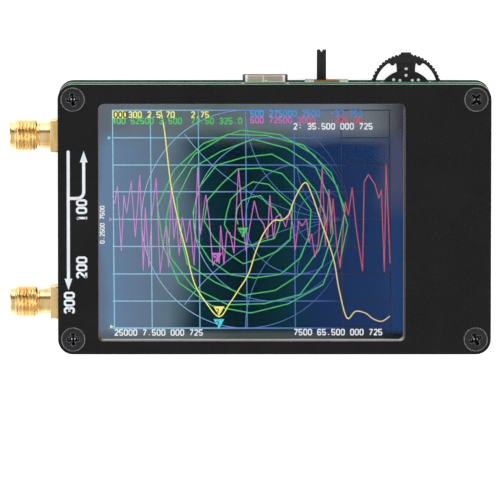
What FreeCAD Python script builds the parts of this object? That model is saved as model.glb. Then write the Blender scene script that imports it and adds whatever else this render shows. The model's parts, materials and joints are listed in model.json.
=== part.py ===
"""Handheld antenna analyzer: three stacked boards, a touch display, two coaxial ports and side controls.

The device lies on its back. The origin is the middle of the rear panel's outer face, +Z comes out of the
display, +Y points to the edge with the charging socket, and the two coaxial ports look towards -X.
All lengths are in millimetres.
"""
import FreeCAD, Part
import math
import os
import Sketcher
from FreeCAD import Placement, Rotation, Vector

DRIVING_SIZES = {
    # Outline that the two panels and the main board share
    "panel_width": 85.5,
    "panel_height": 53.5,
    "panel_thick": 1.6,
    "corner_radius": 3.0,
    "board_thick": 1.2,
    "rear_clear": 0.44,
    "screw_inset": 3.0,
    # Window in the front panel, with its margins to the panel's edges
    "window_left": 8.06,
    "window_right": 17.0,
    "window_over": 3.9,
    "window_under": 2.64,
    "window_radius": 1.1,
    # Countersunk screws and hexagonal pillars
    "head_radius": 2.35,
    "head_cone": 1.1,
    "head_rim": 0.12,
    "shank_radius": 1.25,
    "shank_clear": 0.2,
    "recess_span": 2.5,
    "recess_slot": 0.55,
    "recess_depth": 0.7,
    "screw_clear": 0.02,
    "pillar_flats": 4.0,
    "stud_clear": 0.1,
    "pillar_floor": 0.6,
    "hole_clear": 0.1,
    # Display and touch panel
    "module_left": 5.95,
    "module_right": 10.35,
    "module_over": 2.38,
    "module_under": 1.12,
    "foam_thick": 0.3,
    "foam_width": 2.0,
    "backplate_thick": 0.2,
    "guide_thick": 0.7,
    "guide_wall": 1.0,
    "cell_thick": 0.9,
    "touch_thick": 1.2,
    "film_clear": 0.05,
    "flex_thick": 0.15,
    "flex_reach": 1.7,
    "display_flex_width": 22.0,
    "touch_flex_width": 6.0,
    # Coaxial ports on the left edge
    "port_over": 10.5,
    "port_under": 10.0,
    "flange_side": 6.35,
    "flange_thick": 1.5,
    "neck_radius": 2.53,
    "neck_length": 2.65,
    "thread_radius": 3.175,
    "thread_length": 4.3,
    "tip_radius": 2.55,
    "tip_length": 1.1,
    "tip_bevel": 0.25,
    "dielectric_radius": 2.05,
    "dielectric_clear": 0.02,
    "contact_radius": 0.64,
    "contact_bore": 0.48,
    "contact_depth": 3.0,
    "tail_radius": 0.45,
    "tail_length": 2.2,
    "leg_side": 1.0,
    "leg_length": 4.6,
    "solder_clear": 0.02,
    "notch_clear": 0.15,
    # Charging socket on the upper edge
    "usb_x": -1.83,
    "usb_width": 8.94,
    "usb_height": 3.16,
    "usb_wall": 0.3,
    "usb_length": 7.35,
    "usb_stand_out": 1.4,
    "tongue_width": 6.69,
    "tongue_thick": 0.7,
    "tongue_length": 4.45,
    "pad_pitch": 0.5,
    "pad_width": 0.25,
    "pad_thick": 0.06,
    # Slide switch on the upper edge
    "switch_x": 10.3,
    "switch_width": 8.6,
    "switch_depth": 3.9,
    "switch_clear": 0.4,
    "switch_wall": 0.3,
    "switch_stand_out": 0.35,
    "base_thick": 0.85,
    "base_tab_width": 5.0,
    "lever_width": 1.85,
    "lever_clear": 0.225,
    "lever_reach": 6.3,
    "lever_notch": 0.55,
    "lever_travel": 2.0,
    "shoe_width": 3.4,
    "shoe_depth": 2.5,
    "slide_clear": 0.1,
    "clip_thick": 0.15,
    # Jog wheel on the upper edge
    "jog_x": 26.0,
    "jog_inset": 1.55,
    "wheel_radius": 7.0,
    "rim_thick": 0.8,
    "tooth_depth": 0.3,
    "wheel_clear": 0.4,
    "hub_clear": 0.45,
    "crescent_line": 5.1,
    "spoke_top": 2.0,
    "spoke_foot": 1.5,
    "lobe_radius": 0.5,
    "lobe_x": 2.65,
    "cap_width": 2.05,
    "cap_height": 0.28,
    "rim_drop": 1.5,
    "hub_radius": 2.3,
    "pivot_radius": 0.75,
    "pivot_clear": 0.05,
    "jog_floor": 0.6,
    "jog_wall": 0.8,
    "jog_half_width": 5.0,
    "jog_back": 6.2,
    "jog_block": 2.2,
    "cover_thick": 0.6,
    "cover_top": 3.85,
    "cover_half_chord": 4.6,
    "carriage_thick": 0.5,
    "carriage_half": 2.5,
    "press_travel": 0.5,
    "jog_gap": 0.1,
    "stud_radius": 0.36,
    "stud_proud": 0.14,
    # Battery under the main board
    "cell_left": 15.75,
    "cell_right": 31.75,
    "cell_over": 12.75,
    "cell_under": 6.75,
    "cell_clear": 0.45,
    "cell_corner": 0.8,
    "strip_depth": 2.4,
    "tape_thick": 0.15,
    "lead_radius": 0.45,
    "lead_spacing": 1.25,
    "lead_bend": 2.2,
    "lead_run": 3.0,
    "lead_inset": 3.35,
    "plug_width": 4.2,
    "plug_length": 4.0,
    "plug_height": 2.4,
    "plug_offset": 5.6,
    # Screening can and chips on the rear of the main board, with their distances from its right edge
    "shield_width": 8.6,
    "shield_height": 28.0,
    "shield_depth": 2.2,
    "shield_wall": 0.2,
    "chip_side": 7.0,
    "chip_height": 1.4,
    "chip_right": 19.4,
    "chip_rise": 5.0,
    "codec_side": 5.0,
    "codec_height": 0.9,
    "codec_drop": 11.0,
    "clock_width": 3.0,
    "clock_length": 4.9,
    "clock_height": 1.0,
    "clock_shift": 8.0,
    "mixer_width": 3.9,
    "mixer_length": 4.9,
    "mixer_height": 1.5,
    "mixer_pitch": 5.6,
    "mixer_drop": 19.0,
    "crystal_width": 3.2,
    "crystal_length": 5.0,
    "crystal_height": 0.9,
    "crystal_shift": 10.0,
    "charger_width": 2.9,
    "charger_length": 2.8,
    "charger_height": 1.2,
    "charger_shift": 8.0,
    "charger_inset": 8.5,
    "coil_side": 4.0,
    "coil_height": 1.8,
    "coil_shift": 11.5,
    "coil_inset": 6.0,
    "small_width": 1.0,
    "small_length": 1.7,
    "small_height": 0.6,
    "small_pitch": 2.0,
    "small_drop": 13.6,
    "small_row_gap": 8.6,
    "small_inset": 5.5,
    "lamp_right": 5.5,
    "lamp_pitch": 2.6,
    "lamp_inset": 17.0,
}

TOOTH_COUNT = 56
USB_PADS = 12
LEGS_PER_SIDE = 12
MIXER_COUNT = 3
SMALL_PER_ROW = 9
SMALL_BY_SOCKET = 6
# Studs on the jog unit's cover, as shares of the half chord and of the crown's height
STUD_SPOTS = ((0, 0.73), (-0.53, 0.51), (-0.26, 0.47), (0.27, 0.47), (0.53, 0.5))
# Share of the shorter run that each arc of a lead takes up
ARC_SHARE = 0.45
# Shares of a tooth's pitch, of the rim's radius, of a lobe's radius and of the hub's radius
TOOTH_SHARE = 0.8
CUT_REACH = 1.1
LOBE_LIFT = 0.2
LEG_SPREAD = 0.85
CORNERS = ((1, 1), (-1, 1), (-1, -1), (1, -1))

doc = FreeCAD.newDocument("analyzer")


class Size:
    """A length kept both as a number and as the sheet expression that drives it."""

    def __init__(self, number, words):
        self.number = number
        self.words = words

    def __add__(self, other):
        other = as_size(other)
        return Size(self.number + other.number, f"({self.words} + {other.words})")

    def __sub__(self, other):
        other = as_size(other)
        return Size(self.number - other.number, f"({self.words} - {other.words})")

    def __mul__(self, factor):
        return Size(self.number * factor, f"({self.words} * {factor})")

    def __truediv__(self, factor):
        return Size(self.number / factor, f"({self.words} / {factor})")

    def __neg__(self):
        return self * -1


def as_size(value):
    """Return value as a Size, so that plain numbers and named sizes can be added."""
    return value if isinstance(value, Size) else Size(float(value), f"({float(value)})")


class Names:
    """Holds each driving size under its own name."""


def make_sheet():
    """Write the driving sizes into the spreadsheet and return them as named sizes."""
    sheet = doc.addObject("Spreadsheet::Sheet", "Sizes")
    named = Names()
    for row, (alias, number) in enumerate(DRIVING_SIZES.items(), start=1):
        sheet.set(f"A{row}", alias)
        sheet.set(f"B{row}", str(number))
        sheet.setAlias(f"B{row}", alias)
        setattr(named, alias, Size(number, f"Sizes.{alias}"))
    doc.recompute()
    return named


S = make_sheet()

# Heights of the stack, from the rear panel's outer face upwards
REAR_GAP = S.usb_height + S.rear_clear
FRONT_GAP = S.foam_thick + S.backplate_thick + S.guide_thick + S.cell_thick + S.touch_thick + S.film_clear * 2
REAR_TOP = S.panel_thick
BOARD_LOW = REAR_TOP + REAR_GAP
BOARD_TOP = BOARD_LOW + S.board_thick
FRONT_LOW = BOARD_TOP + FRONT_GAP
FRONT_TOP = FRONT_LOW + S.panel_thick
EDGE_X = S.panel_width / 2
EDGE_Y = S.panel_height / 2
HOLE_X = EDGE_X - S.screw_inset
HOLE_Y = EDGE_Y - S.screw_inset
PORT_Z = BOARD_LOW + S.board_thick / 2
PORT_YS = (EDGE_Y - S.port_over, S.port_under - EDGE_Y)

nodes = {}


def keep(obj, label, place=None):
    """Give a finished sub-part its label and place, and list it for export."""
    obj.Label = label
    if place is not None:
        put(obj, *place)
    nodes[label] = obj
    return obj


def put(obj, x, y, z):
    """Tie an object's position to named sizes."""
    for axis, value in zip("xyz", (x, y, z)):
        obj.setExpression(f"Placement.Base.{axis}", as_size(value).words)


def turn_about(obj, axis, degrees):
    """Turn an object about an axis through its own origin."""
    obj.Placement = Placement(obj.Placement.Base, Rotation(axis, degrees))


def new_body(name):
    """Start a body, the solid that one sequence of features makes."""
    return doc.addObject("PartDesign::Body", name)


def origin_plane(body, role):
    """Return one of the body's own three origin planes."""
    return next(f for f in body.Origin.OriginFeatures if f.Role == role)


def new_sketch(body, role="XY_Plane", level=0):
    """Start a sketch on an origin plane, raised along its normal by level."""
    sketch = body.newObject("Sketcher::SketchObject", body.Name + "_sketch")
    sketch.AttachmentSupport = [(origin_plane(body, role), "")]
    sketch.MapMode = "FlatFace"
    if isinstance(level, Size):
        sketch.setExpression("AttachmentOffset.Base.z", level.words)
    return sketch


def drive(sketch, kind, places, size):
    """Add one sized constraint and tie it to the sheet."""
    index = sketch.addConstraint(Sketcher.Constraint(kind, *places, size.number))
    sketch.setExpression(f"Constraints[{index}]", size.words)


def pin_point(sketch, curve, point, x, y):
    """Fix a point of a curve at (x, y); a plain 0 lays it on the sketch's axis."""
    for kind, axis, value in (("DistanceX", -2, x), ("DistanceY", -1, y)):
        if isinstance(value, Size):
            drive(sketch, kind, (-1, 1, curve, point), value)
        else:
            sketch.addConstraint(Sketcher.Constraint("PointOnObject", curve, point, axis))


def draw_outline(sketch, points):
    """Draw a closed outline of straight lines through points given as named sizes."""
    flat = [Vector(as_size(x).number, as_size(y).number, 0) for x, y in points]
    first = sketch.GeometryCount
    count = len(points)
    for i in range(count):
        sketch.addGeometry(Part.LineSegment(flat[i], flat[(i + 1) % count]), False)
    for i, (x, y) in enumerate(points):
        before = first + (i - 1) % count
        sketch.addConstraint(Sketcher.Constraint("Coincident", before, 2, first + i, 1))
        pin_point(sketch, first + i, 1, x, y)


def draw_circle(sketch, x, y, radius):
    """Draw a circle with a named radius."""
    centre = Vector(as_size(x).number, as_size(y).number, 0)
    curve = sketch.addGeometry(Part.Circle(centre, Vector(0, 0, 1), radius.number), False)
    drive(sketch, "Radius", (curve,), radius)
    pin_point(sketch, curve, 3, x, y)


def draw_box(sketch, left, low, right, high):
    """Draw a rectangle between two corners."""
    draw_outline(sketch, [(left, low), (right, low), (right, high), (left, high)])


def draw_rounded_box(sketch, left, low, right, high, radius):
    """Draw a rectangle whose corners are quarter arcs of one radius."""
    x0, y0, x1, y1 = (as_size(v).number for v in (left, low, right, high))
    r = radius.number
    first = sketch.GeometryCount
    lines = (((x0 + r, y0), (x1 - r, y0)), ((x1, y0 + r), (x1, y1 - r)),
             ((x1 - r, y1), (x0 + r, y1)), ((x0, y1 - r), (x0, y0 + r)))
    centres = ((x1 - r, y0 + r), (x1 - r, y1 - r), (x0 + r, y1 - r), (x0 + r, y0 + r))
    for i, (start, end) in enumerate(lines):
        sketch.addGeometry(Part.LineSegment(Vector(*start, 0), Vector(*end, 0)), False)
        round_off = Part.Circle(Vector(*centres[i], 0), Vector(0, 0, 1), r)
        turn = (i - 1) * math.pi / 2
        sketch.addGeometry(Part.ArcOfCircle(round_off, turn, turn + math.pi / 2), False)
    for i in range(4):
        line, arc, following = first + 2 * i, first + 2 * i + 1, first + 2 * ((i + 1) % 4)
        sketch.addConstraint(Sketcher.Constraint("Tangent", line, 2, arc, 1))
        sketch.addConstraint(Sketcher.Constraint("Tangent", arc, 2, following, 1))
        sketch.addConstraint(Sketcher.Constraint("Vertical" if i % 2 else "Horizontal", line))
        drive(sketch, "Radius", (arc,), radius)
    for line, kind, value in ((0, "DistanceY", low), (2, "DistanceX", right),
                              (4, "DistanceY", high), (6, "DistanceX", left)):
        drive(sketch, kind, (-1, 1, first + line, 1), as_size(value))


def pad(body, sketch, length, down=False):
    """Raise a sketch into a solid."""
    feature = body.newObject("PartDesign::Pad", body.Name + "_pad")
    feature.Profile = sketch
    feature.Reversed = down
    feature.setExpression("Length", as_size(length).words)
    return feature


def cut(body, sketch, depth=None, up=False):
    """Cut a sketch out of the solid, to a depth or right through."""
    feature = body.newObject("PartDesign::Pocket", body.Name + "_pocket")
    feature.Profile = sketch
    feature.Reversed = up
    if depth is None:
        feature.Type = "ThroughAll"
    else:
        feature.setExpression("Length", as_size(depth).words)
    return feature


def revolve(body, sketch, axis="V_Axis"):
    """Turn a sketch once round its own vertical or horizontal axis."""
    feature = body.newObject("PartDesign::Revolution", body.Name + "_revolution")
    feature.Profile = sketch
    feature.ReferenceAxis = (sketch, [axis])
    feature.Angle = 360
    return feature


def block(name, left, back, low, width, depth, height):
    """Make a plain block from its lowest corner and its three sizes."""
    obj = doc.addObject("Part::Box", name)
    for prop, value in (("Length", width), ("Width", depth), ("Height", height)):
        obj.setExpression(prop, as_size(value).words)
    put(obj, left, back, low)
    return obj


def rod(name, x, y, low, radius, height):
    """Make an upright round rod."""
    obj = doc.addObject("Part::Cylinder", name)
    obj.setExpression("Radius", as_size(radius).words)
    obj.setExpression("Height", as_size(height).words)
    put(obj, x, y, low)
    return obj


def minus(name, base, tool):
    """Take one object away from another."""
    obj = doc.addObject("Part::Cut", name)
    obj.Base = base
    obj.Tool = tool
    return obj


def joined(name, pieces):
    """Fuse several objects into one solid."""
    obj = doc.addObject("Part::MultiFuse", name)
    obj.Shapes = pieces
    obj.Refine = True
    return obj


def gathered(name, pieces):
    """Hold several separate solids in one node."""
    obj = doc.addObject("Part::Compound", name)
    obj.Links = pieces
    return obj


def at_four_corners(name, single):
    """Repeat a piece at the four fixing holes by mirroring it across the middle planes."""
    copies = [single]
    for normals in (((1, 0, 0),), ((0, 1, 0),), ((1, 0, 0), (0, 1, 0))):
        source = single
        for normal in normals:
            mirror = doc.addObject("Part::Mirroring", name + "_mirror")
            mirror.Source = source
            mirror.Base = Vector(0, 0, 0)
            mirror.Normal = Vector(*normal)
            source = mirror
        copies.append(source)
    return gathered(name, copies)


def plate_body(name, thick):
    """Start one of the three flat boards: rounded outline, one named thickness."""
    body = new_body(name)
    outline = new_sketch(body)
    draw_rounded_box(outline, -EDGE_X, -EDGE_Y, EDGE_X, EDGE_Y, S.corner_radius)
    pad(body, outline, thick)
    holes = new_sketch(body)
    for sx, sy in CORNERS:
        draw_circle(holes, HOLE_X * sx, HOLE_Y * sy, S.shank_radius + S.hole_clear)
    cut(body, holes, up=True)
    return body


def countersink(body, face, wider_up):
    """Sink a cone for each screw head into the panel face at height face."""
    narrow = S.shank_radius + S.screw_clear
    wide = S.head_radius + S.screw_clear
    for sx, sy in CORNERS:
        cone = body.newObject("PartDesign::SubtractiveCone", body.Name + "_sink")
        cone.setExpression("Radius1", (narrow if wider_up else wide).words)
        cone.setExpression("Radius2", (wide if wider_up else narrow).words)
        cone.setExpression("Height", S.head_cone.words)
        low = face - S.head_cone - S.head_rim if wider_up else face + S.head_rim
        put(cone, HOLE_X * sx, HOLE_Y * sy, low)
        rim = body.newObject("PartDesign::SubtractiveCylinder", body.Name + "_rim")
        rim.setExpression("Radius", wide.words)
        rim.setExpression("Height", S.head_rim.words)
        put(rim, HOLE_X * sx, HOLE_Y * sy, face - S.head_rim if wider_up else face)
    return body


def make_front_panel():
    """Front panel with the display window and four countersunk holes."""
    body = plate_body("front_panel", S.panel_thick)
    window = new_sketch(body)
    draw_rounded_box(window, S.window_left - EDGE_X, S.window_under - EDGE_Y,
                     EDGE_X - S.window_right, EDGE_Y - S.window_over, S.window_radius)
    cut(body, window, up=True)
    countersink(body, S.panel_thick, wider_up=True)
    keep(body, "front_panel", (0, 0, FRONT_LOW))


def make_rear_panel():
    """Rear panel, plain apart from its countersunk holes."""
    body = plate_body("rear_panel", S.panel_thick)
    countersink(body, as_size(0), wider_up=False)
    keep(body, "rear_panel", (0, 0, 0))


def make_main_board():
    """Main board, with an edge notch for the tail of each coaxial port."""
    body = plate_body("main_board", S.board_thick)
    notches = new_sketch(body)
    half = S.tail_radius + S.notch_clear
    depth = S.tail_length + S.notch_clear
    for y in PORT_YS:
        draw_box(notches, -EDGE_X - S.notch_clear, y - half, depth - EDGE_X, y + half)
    cut(body, notches, up=True)
    keep(body, "main_board", (0, 0, BOARD_LOW))


def make_screw(name):
    """Countersunk screw with its head's face at height 0 and a crossed recess."""
    body = new_body(name)
    profile = new_sketch(body, "XZ_Plane")
    below = -S.head_rim - S.head_cone
    tip = S.shank_clear - S.panel_thick - FRONT_GAP / 2
    draw_outline(profile, [(0, 0), (S.head_radius, 0), (S.head_radius, -S.head_rim),
                           (S.shank_radius, below), (S.shank_radius, tip), (0, tip)])
    revolve(body, profile)
    half, slot = S.recess_span / 2, S.recess_slot / 2
    cross = new_sketch(body)
    draw_outline(cross, [(half, -slot), (half, slot), (slot, slot), (slot, half), (-slot, half),
                         (-slot, slot), (-half, slot), (-half, -slot), (-slot, -slot),
                         (-slot, -half), (slot, -half), (slot, -slot)])
    cut(body, cross, S.recess_depth)
    return body


def make_screws():
    """Four screws through each panel."""
    front = make_screw("front_screw")
    put(front, HOLE_X, HOLE_Y, FRONT_TOP)
    keep(at_four_corners("front_screws_group", front), "front_screws")
    rear = make_screw("rear_screw")
    turn_about(rear, Vector(1, 0, 0), 180)
    put(rear, HOLE_X, HOLE_Y, 0)
    keep(at_four_corners("rear_screws_group", rear), "rear_screws")


def make_pillar(name, length, bore_depth, with_stud):
    """Hexagonal brass pillar, bored from below, with or without a stud on top."""
    body = new_body(name)
    corner = S.pillar_flats / math.sqrt(3)
    flat = S.pillar_flats / 2
    hexagon = new_sketch(body)
    draw_outline(hexagon, [(corner, 0), (corner / 2, flat), (-corner / 2, flat), (-corner, 0),
                           (-corner / 2, -flat), (corner / 2, -flat)])
    pad(body, hexagon, length)
    if with_stud:
        stud = new_sketch(body, level=length)
        draw_circle(stud, 0, 0, S.shank_radius)
        pad(body, stud, S.board_thick + FRONT_GAP / 2 - S.stud_clear)
    bore = new_sketch(body)
    draw_circle(bore, 0, 0, S.shank_radius + S.screw_clear)
    cut(body, bore, bore_depth, up=True)
    put(body, HOLE_X, HOLE_Y, 0)
    return body


def make_pillars():
    """Pillars that hold the main board between the two panels."""
    front = make_pillar("front_pillar", FRONT_GAP, None, with_stud=False)
    put(front, HOLE_X, HOLE_Y, BOARD_TOP)
    keep(at_four_corners("front_pillars_group", front), "front_standoffs")
    rear = make_pillar("rear_pillar", REAR_GAP, REAR_GAP - S.pillar_floor, with_stud=True)
    put(rear, HOLE_X, HOLE_Y, REAR_TOP)
    keep(at_four_corners("rear_pillars_group", rear), "rear_standoffs")


def make_display():
    """Display module on foam, with the touch panel between it and the front panel."""
    left, low = S.module_left - EDGE_X, S.module_under - EDGE_Y
    width = S.panel_width - S.module_left - S.module_right
    height = S.panel_height - S.module_over - S.module_under
    wall = S.guide_wall
    foam_low = BOARD_TOP
    plate_low = foam_low + S.foam_thick
    guide_low = plate_low + S.backplate_thick
    cell_low = guide_low + S.guide_thick
    touch_low = cell_low + S.cell_thick + S.film_clear

    foam = block("foam_block", left, low, foam_low, width, height, S.foam_thick)
    foam_hole = block("foam_hole", left + S.foam_width, low + S.foam_width, foam_low,
                      width - S.foam_width * 2, height - S.foam_width * 2, S.foam_thick)
    keep(minus("foam_ring", foam, foam_hole), "lcd_tape")
    keep(block("steel_back", left, low, plate_low, width, height, S.backplate_thick),
         "lcd_back_plate")
    inner = (left + wall, low + wall, guide_low, width - wall * 2, height - wall * 2)
    frame_height = S.guide_thick + S.cell_thick
    frame = block("frame_block", left, low, guide_low, width, height, frame_height)
    frame_hole = block("frame_hole", *inner, frame_height)
    flex_slot = block("frame_slot", left + width - wall, -S.display_flex_width / 2 - S.film_clear,
                      cell_low, wall, S.display_flex_width + S.film_clear * 2, S.cell_thick)
    keep(minus("frame_ring", minus("frame_open", frame, frame_hole), flex_slot), "lcd_frame")
    gap = S.film_clear
    filling = (left + wall + gap, low + wall + gap)
    filling_size = (width - wall * 2 - gap * 2, height - wall * 2 - gap * 2)
    keep(block("guide_block", *filling, guide_low, *filling_size, S.guide_thick), "light_guide")
    keep(block("cell_block", *filling, cell_low, *filling_size, S.cell_thick), "lcd_glass")
    keep(block("touch_block", left, low, touch_low, width, height, S.touch_thick), "touch_panel")

    right = left + width
    make_flex("lcd_flex", right - wall - gap, cell_low + S.cell_thick / 2, S.display_flex_width, as_size(0))
    make_flex("touch_flex", right, touch_low + S.touch_thick / 2, S.touch_flex_width,
              S.display_flex_width / 2 + S.touch_flex_width)


def make_flex(name, start, height, width, middle):
    """Thin ribbon that leaves the display at a height and bends down flat onto the main board."""
    body = new_body(name)
    profile = new_sketch(body, "XZ_Plane", level=-(middle + width / 2))
    film = S.flex_thick
    bend = start + S.flex_reach
    tail = bend + S.flex_reach
    draw_outline(profile, [(start, height), (bend, height), (bend, BOARD_TOP + film), (tail, BOARD_TOP + film),
                           (tail, BOARD_TOP), (bend - film, BOARD_TOP), (bend - film, height - film),
                           (start, height - film)])
    pad(body, profile, width)
    keep(body, name)


def make_port(number, y):
    """Coaxial jack on the board's left edge: shell, insulator and centre contact."""
    place = (-EDGE_X, y, PORT_Z)
    neck_end = S.flange_thick + S.neck_length
    thread_end = neck_end + S.thread_length
    tip_end = thread_end + S.tip_length

    shell = new_body(f"port_{number}_shell")
    flange = new_sketch(shell, "YZ_Plane")
    half = S.flange_side / 2
    draw_box(flange, -half, -half, half, half)
    pad(shell, flange, S.flange_thick, down=True)
    barrel = new_sketch(shell, "XZ_Plane")
    draw_outline(barrel, [(-S.flange_thick / 2, 0), (-S.flange_thick / 2, S.neck_radius),
                          (-neck_end, S.neck_radius), (-neck_end, S.thread_radius),
                          (-thread_end, S.thread_radius), (-thread_end, S.tip_radius),
                          (S.tip_bevel - tip_end, S.tip_radius), (-tip_end, S.tip_radius - S.tip_bevel),
                          (-tip_end, 0)])
    revolve(shell, barrel, "H_Axis")
    legs = new_sketch(shell, "YZ_Plane")
    rise = S.board_thick / 2 + S.solder_clear
    for sy in (-1, 1):
        for sz in (-1, 1):
            across = sorted((half * sy, (half - S.leg_side) * sy), key=lambda size: size.number)
            above = sorted((rise * sz, (rise + S.leg_side) * sz), key=lambda size: size.number)
            draw_box(legs, across[0], above[0], across[1], above[1])
    pad(shell, legs, S.leg_length)
    bore = new_sketch(shell, "YZ_Plane")
    draw_circle(bore, 0, 0, S.dielectric_radius)
    cut(shell, bore)
    keep(shell, f"port_{number}_shell", place)

    insulator = new_body(f"port_{number}_insulator")
    ring = new_sketch(insulator, "XZ_Plane")
    inner = S.contact_radius + S.dielectric_clear
    outer = S.dielectric_radius - S.dielectric_clear
    draw_outline(ring, [(0, inner), (0, outer), (-tip_end, outer), (-tip_end, inner)])
    revolve(insulator, ring, "H_Axis")
    keep(insulator, f"port_{number}_insulator", place)

    contact = new_body(f"port_{number}_contact")
    turned = new_sketch(contact, "XZ_Plane")
    draw_outline(turned, [(-tip_end, S.contact_bore), (-tip_end, S.contact_radius), (0, S.contact_radius),
                          (0, S.tail_radius), (S.tail_length, S.tail_radius), (S.tail_length, 0),
                          (S.contact_depth - tip_end, 0), (S.contact_depth - tip_end, S.contact_bore)])
    revolve(contact, turned, "H_Axis")
    keep(contact, f"port_{number}_contact", place)


def make_usb():
    """Charging socket: drawn shell, tongue and two rows of contact pads."""
    mid_z = BOARD_LOW - S.usb_height / 2
    mouth = EDGE_Y + S.usb_stand_out
    half_w, half_h = S.usb_width / 2, S.usb_height / 2
    wall = S.usb_wall

    shell = new_body("usb_shell")
    outline = new_sketch(shell, "XZ_Plane")
    roundness = half_h - wall / 2
    draw_rounded_box(outline, -half_w, -half_h, half_w, half_h, roundness)
    pad(shell, outline, S.usb_length)
    hollow = new_sketch(shell, "XZ_Plane")
    draw_rounded_box(hollow, wall - half_w, wall - half_h, half_w - wall, half_h - wall, roundness - wall)
    cut(shell, hollow, S.usb_length - wall, up=True)
    keep(shell, "usb_shell", (S.usb_x, mouth, mid_z))

    back = mouth - S.usb_length + wall
    block_depth = S.usb_length - wall - S.tongue_length - S.usb_stand_out
    tongue_low = mid_z - S.tongue_thick / 2
    heel = block("usb_heel", S.usb_x - S.tongue_width / 2, back, mid_z - S.usb_height / 4,
                 S.tongue_width, block_depth, S.usb_height / 2)
    blade = block("usb_blade", S.usb_x - S.tongue_width / 2, back, tongue_low, S.tongue_width,
                  block_depth + S.tongue_length, S.tongue_thick)
    keep(joined("usb_tongue_fuse", [heel, blade]), "usb_tongue")

    pads = []
    pad_back = back + block_depth
    pad_length = S.tongue_length - S.pad_pitch
    for row_low in (tongue_low - S.pad_thick, tongue_low + S.tongue_thick):
        for i in range(USB_PADS):
            x = S.usb_x + S.pad_pitch * (i - (USB_PADS - 1) / 2) - S.pad_width / 2
            pads.append(block("usb_pad", x, pad_back, row_low, S.pad_width, pad_length, S.pad_thick))
    keep(gathered("usb_pads", pads), "usb_contacts")


def make_switch():
    """Slide switch: folded steel frame, resin base, terminals, and the sliding lever with its clip."""
    left = S.switch_x - S.switch_width / 2
    front = EDGE_Y + S.switch_stand_out
    back = front - S.switch_depth
    height = REAR_GAP - S.switch_clear
    low = BOARD_LOW - height
    wall = S.switch_wall
    gap = S.slide_clear
    base_low = BOARD_LOW - S.base_thick
    lever_low = low + wall + S.lever_clear
    lever_thick = height - S.base_thick - wall - S.lever_clear * 2
    lever_x = S.switch_x - S.lever_travel / 2

    outer = block("switch_outer", left, back, low, S.switch_width, S.switch_depth, height)
    inner = block("switch_inner", left + wall, back + wall, low + wall, S.switch_width - wall * 2,
                  S.switch_depth - wall * 2, height - wall)
    slot = block("switch_slot", lever_x - S.lever_width / 2 - gap, front - wall, lever_low - gap,
                 S.lever_width + S.lever_travel + gap * 2, wall, lever_thick + gap * 2)
    tab = block("switch_tab_gap", S.switch_x - S.base_tab_width / 2 - S.film_clear, front - wall,
                base_low - S.film_clear, S.base_tab_width + S.film_clear * 2, wall,
                S.base_thick + S.film_clear)
    keep(minus("switch_frame_cut", outer, gathered("switch_frame_tools", [inner, slot, tab])), "switch_frame")

    fit = S.film_clear
    slab = block("switch_slab", left + wall + fit, back + wall + fit, base_low,
                 S.switch_width - wall * 2 - fit * 2, S.switch_depth - wall * 2 - fit, S.base_thick)
    tongue = block("switch_tongue", S.switch_x - S.base_tab_width / 2, front - wall - fit * 2, base_low,
                   S.base_tab_width, wall + fit * 2, S.base_thick)
    keep(joined("switch_base_fuse", [slab, tongue]), "switch_base")

    pitch = S.lever_travel
    pins = []
    for i in (-1, 0, 1):
        pins.append(block("switch_pin", S.switch_x + pitch * i - S.clip_thick * 2, back - pitch / 2,
                          BOARD_LOW - S.clip_thick, S.clip_thick * 4, pitch / 2 - S.film_clear, S.clip_thick))
    keep(gathered("switch_pins", pins), "switch_terminals")

    lever = new_body("switch_lever")
    shoe = new_sketch(lever)
    shoe_front = -wall - gap
    draw_box(shoe, -S.shoe_width / 2, shoe_front - S.shoe_depth, S.shoe_width / 2, shoe_front)
    pad(lever, shoe, lever_thick)
    stem = new_sketch(lever)
    half = S.lever_width / 2
    tip = S.lever_reach - S.switch_stand_out
    notch = S.lever_notch
    draw_outline(stem, [(-half, shoe_front - S.shoe_depth / 2), (half, shoe_front - S.shoe_depth / 2),
                        (half, tip), (notch / 2, tip), (0, tip - notch), (-notch / 2, tip), (-half, tip)])
    pad(lever, stem, lever_thick)
    keep(lever, "switch_lever", (lever_x, front, lever_low))

    clip_low = lever_low + lever_thick
    plate = block("clip_plate", lever_x - S.shoe_width / 2, front + shoe_front - S.shoe_depth, clip_low,
                  S.shoe_width, S.shoe_depth / 2, S.clip_thick)
    keep(plate, "switch_contact_clip")


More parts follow.
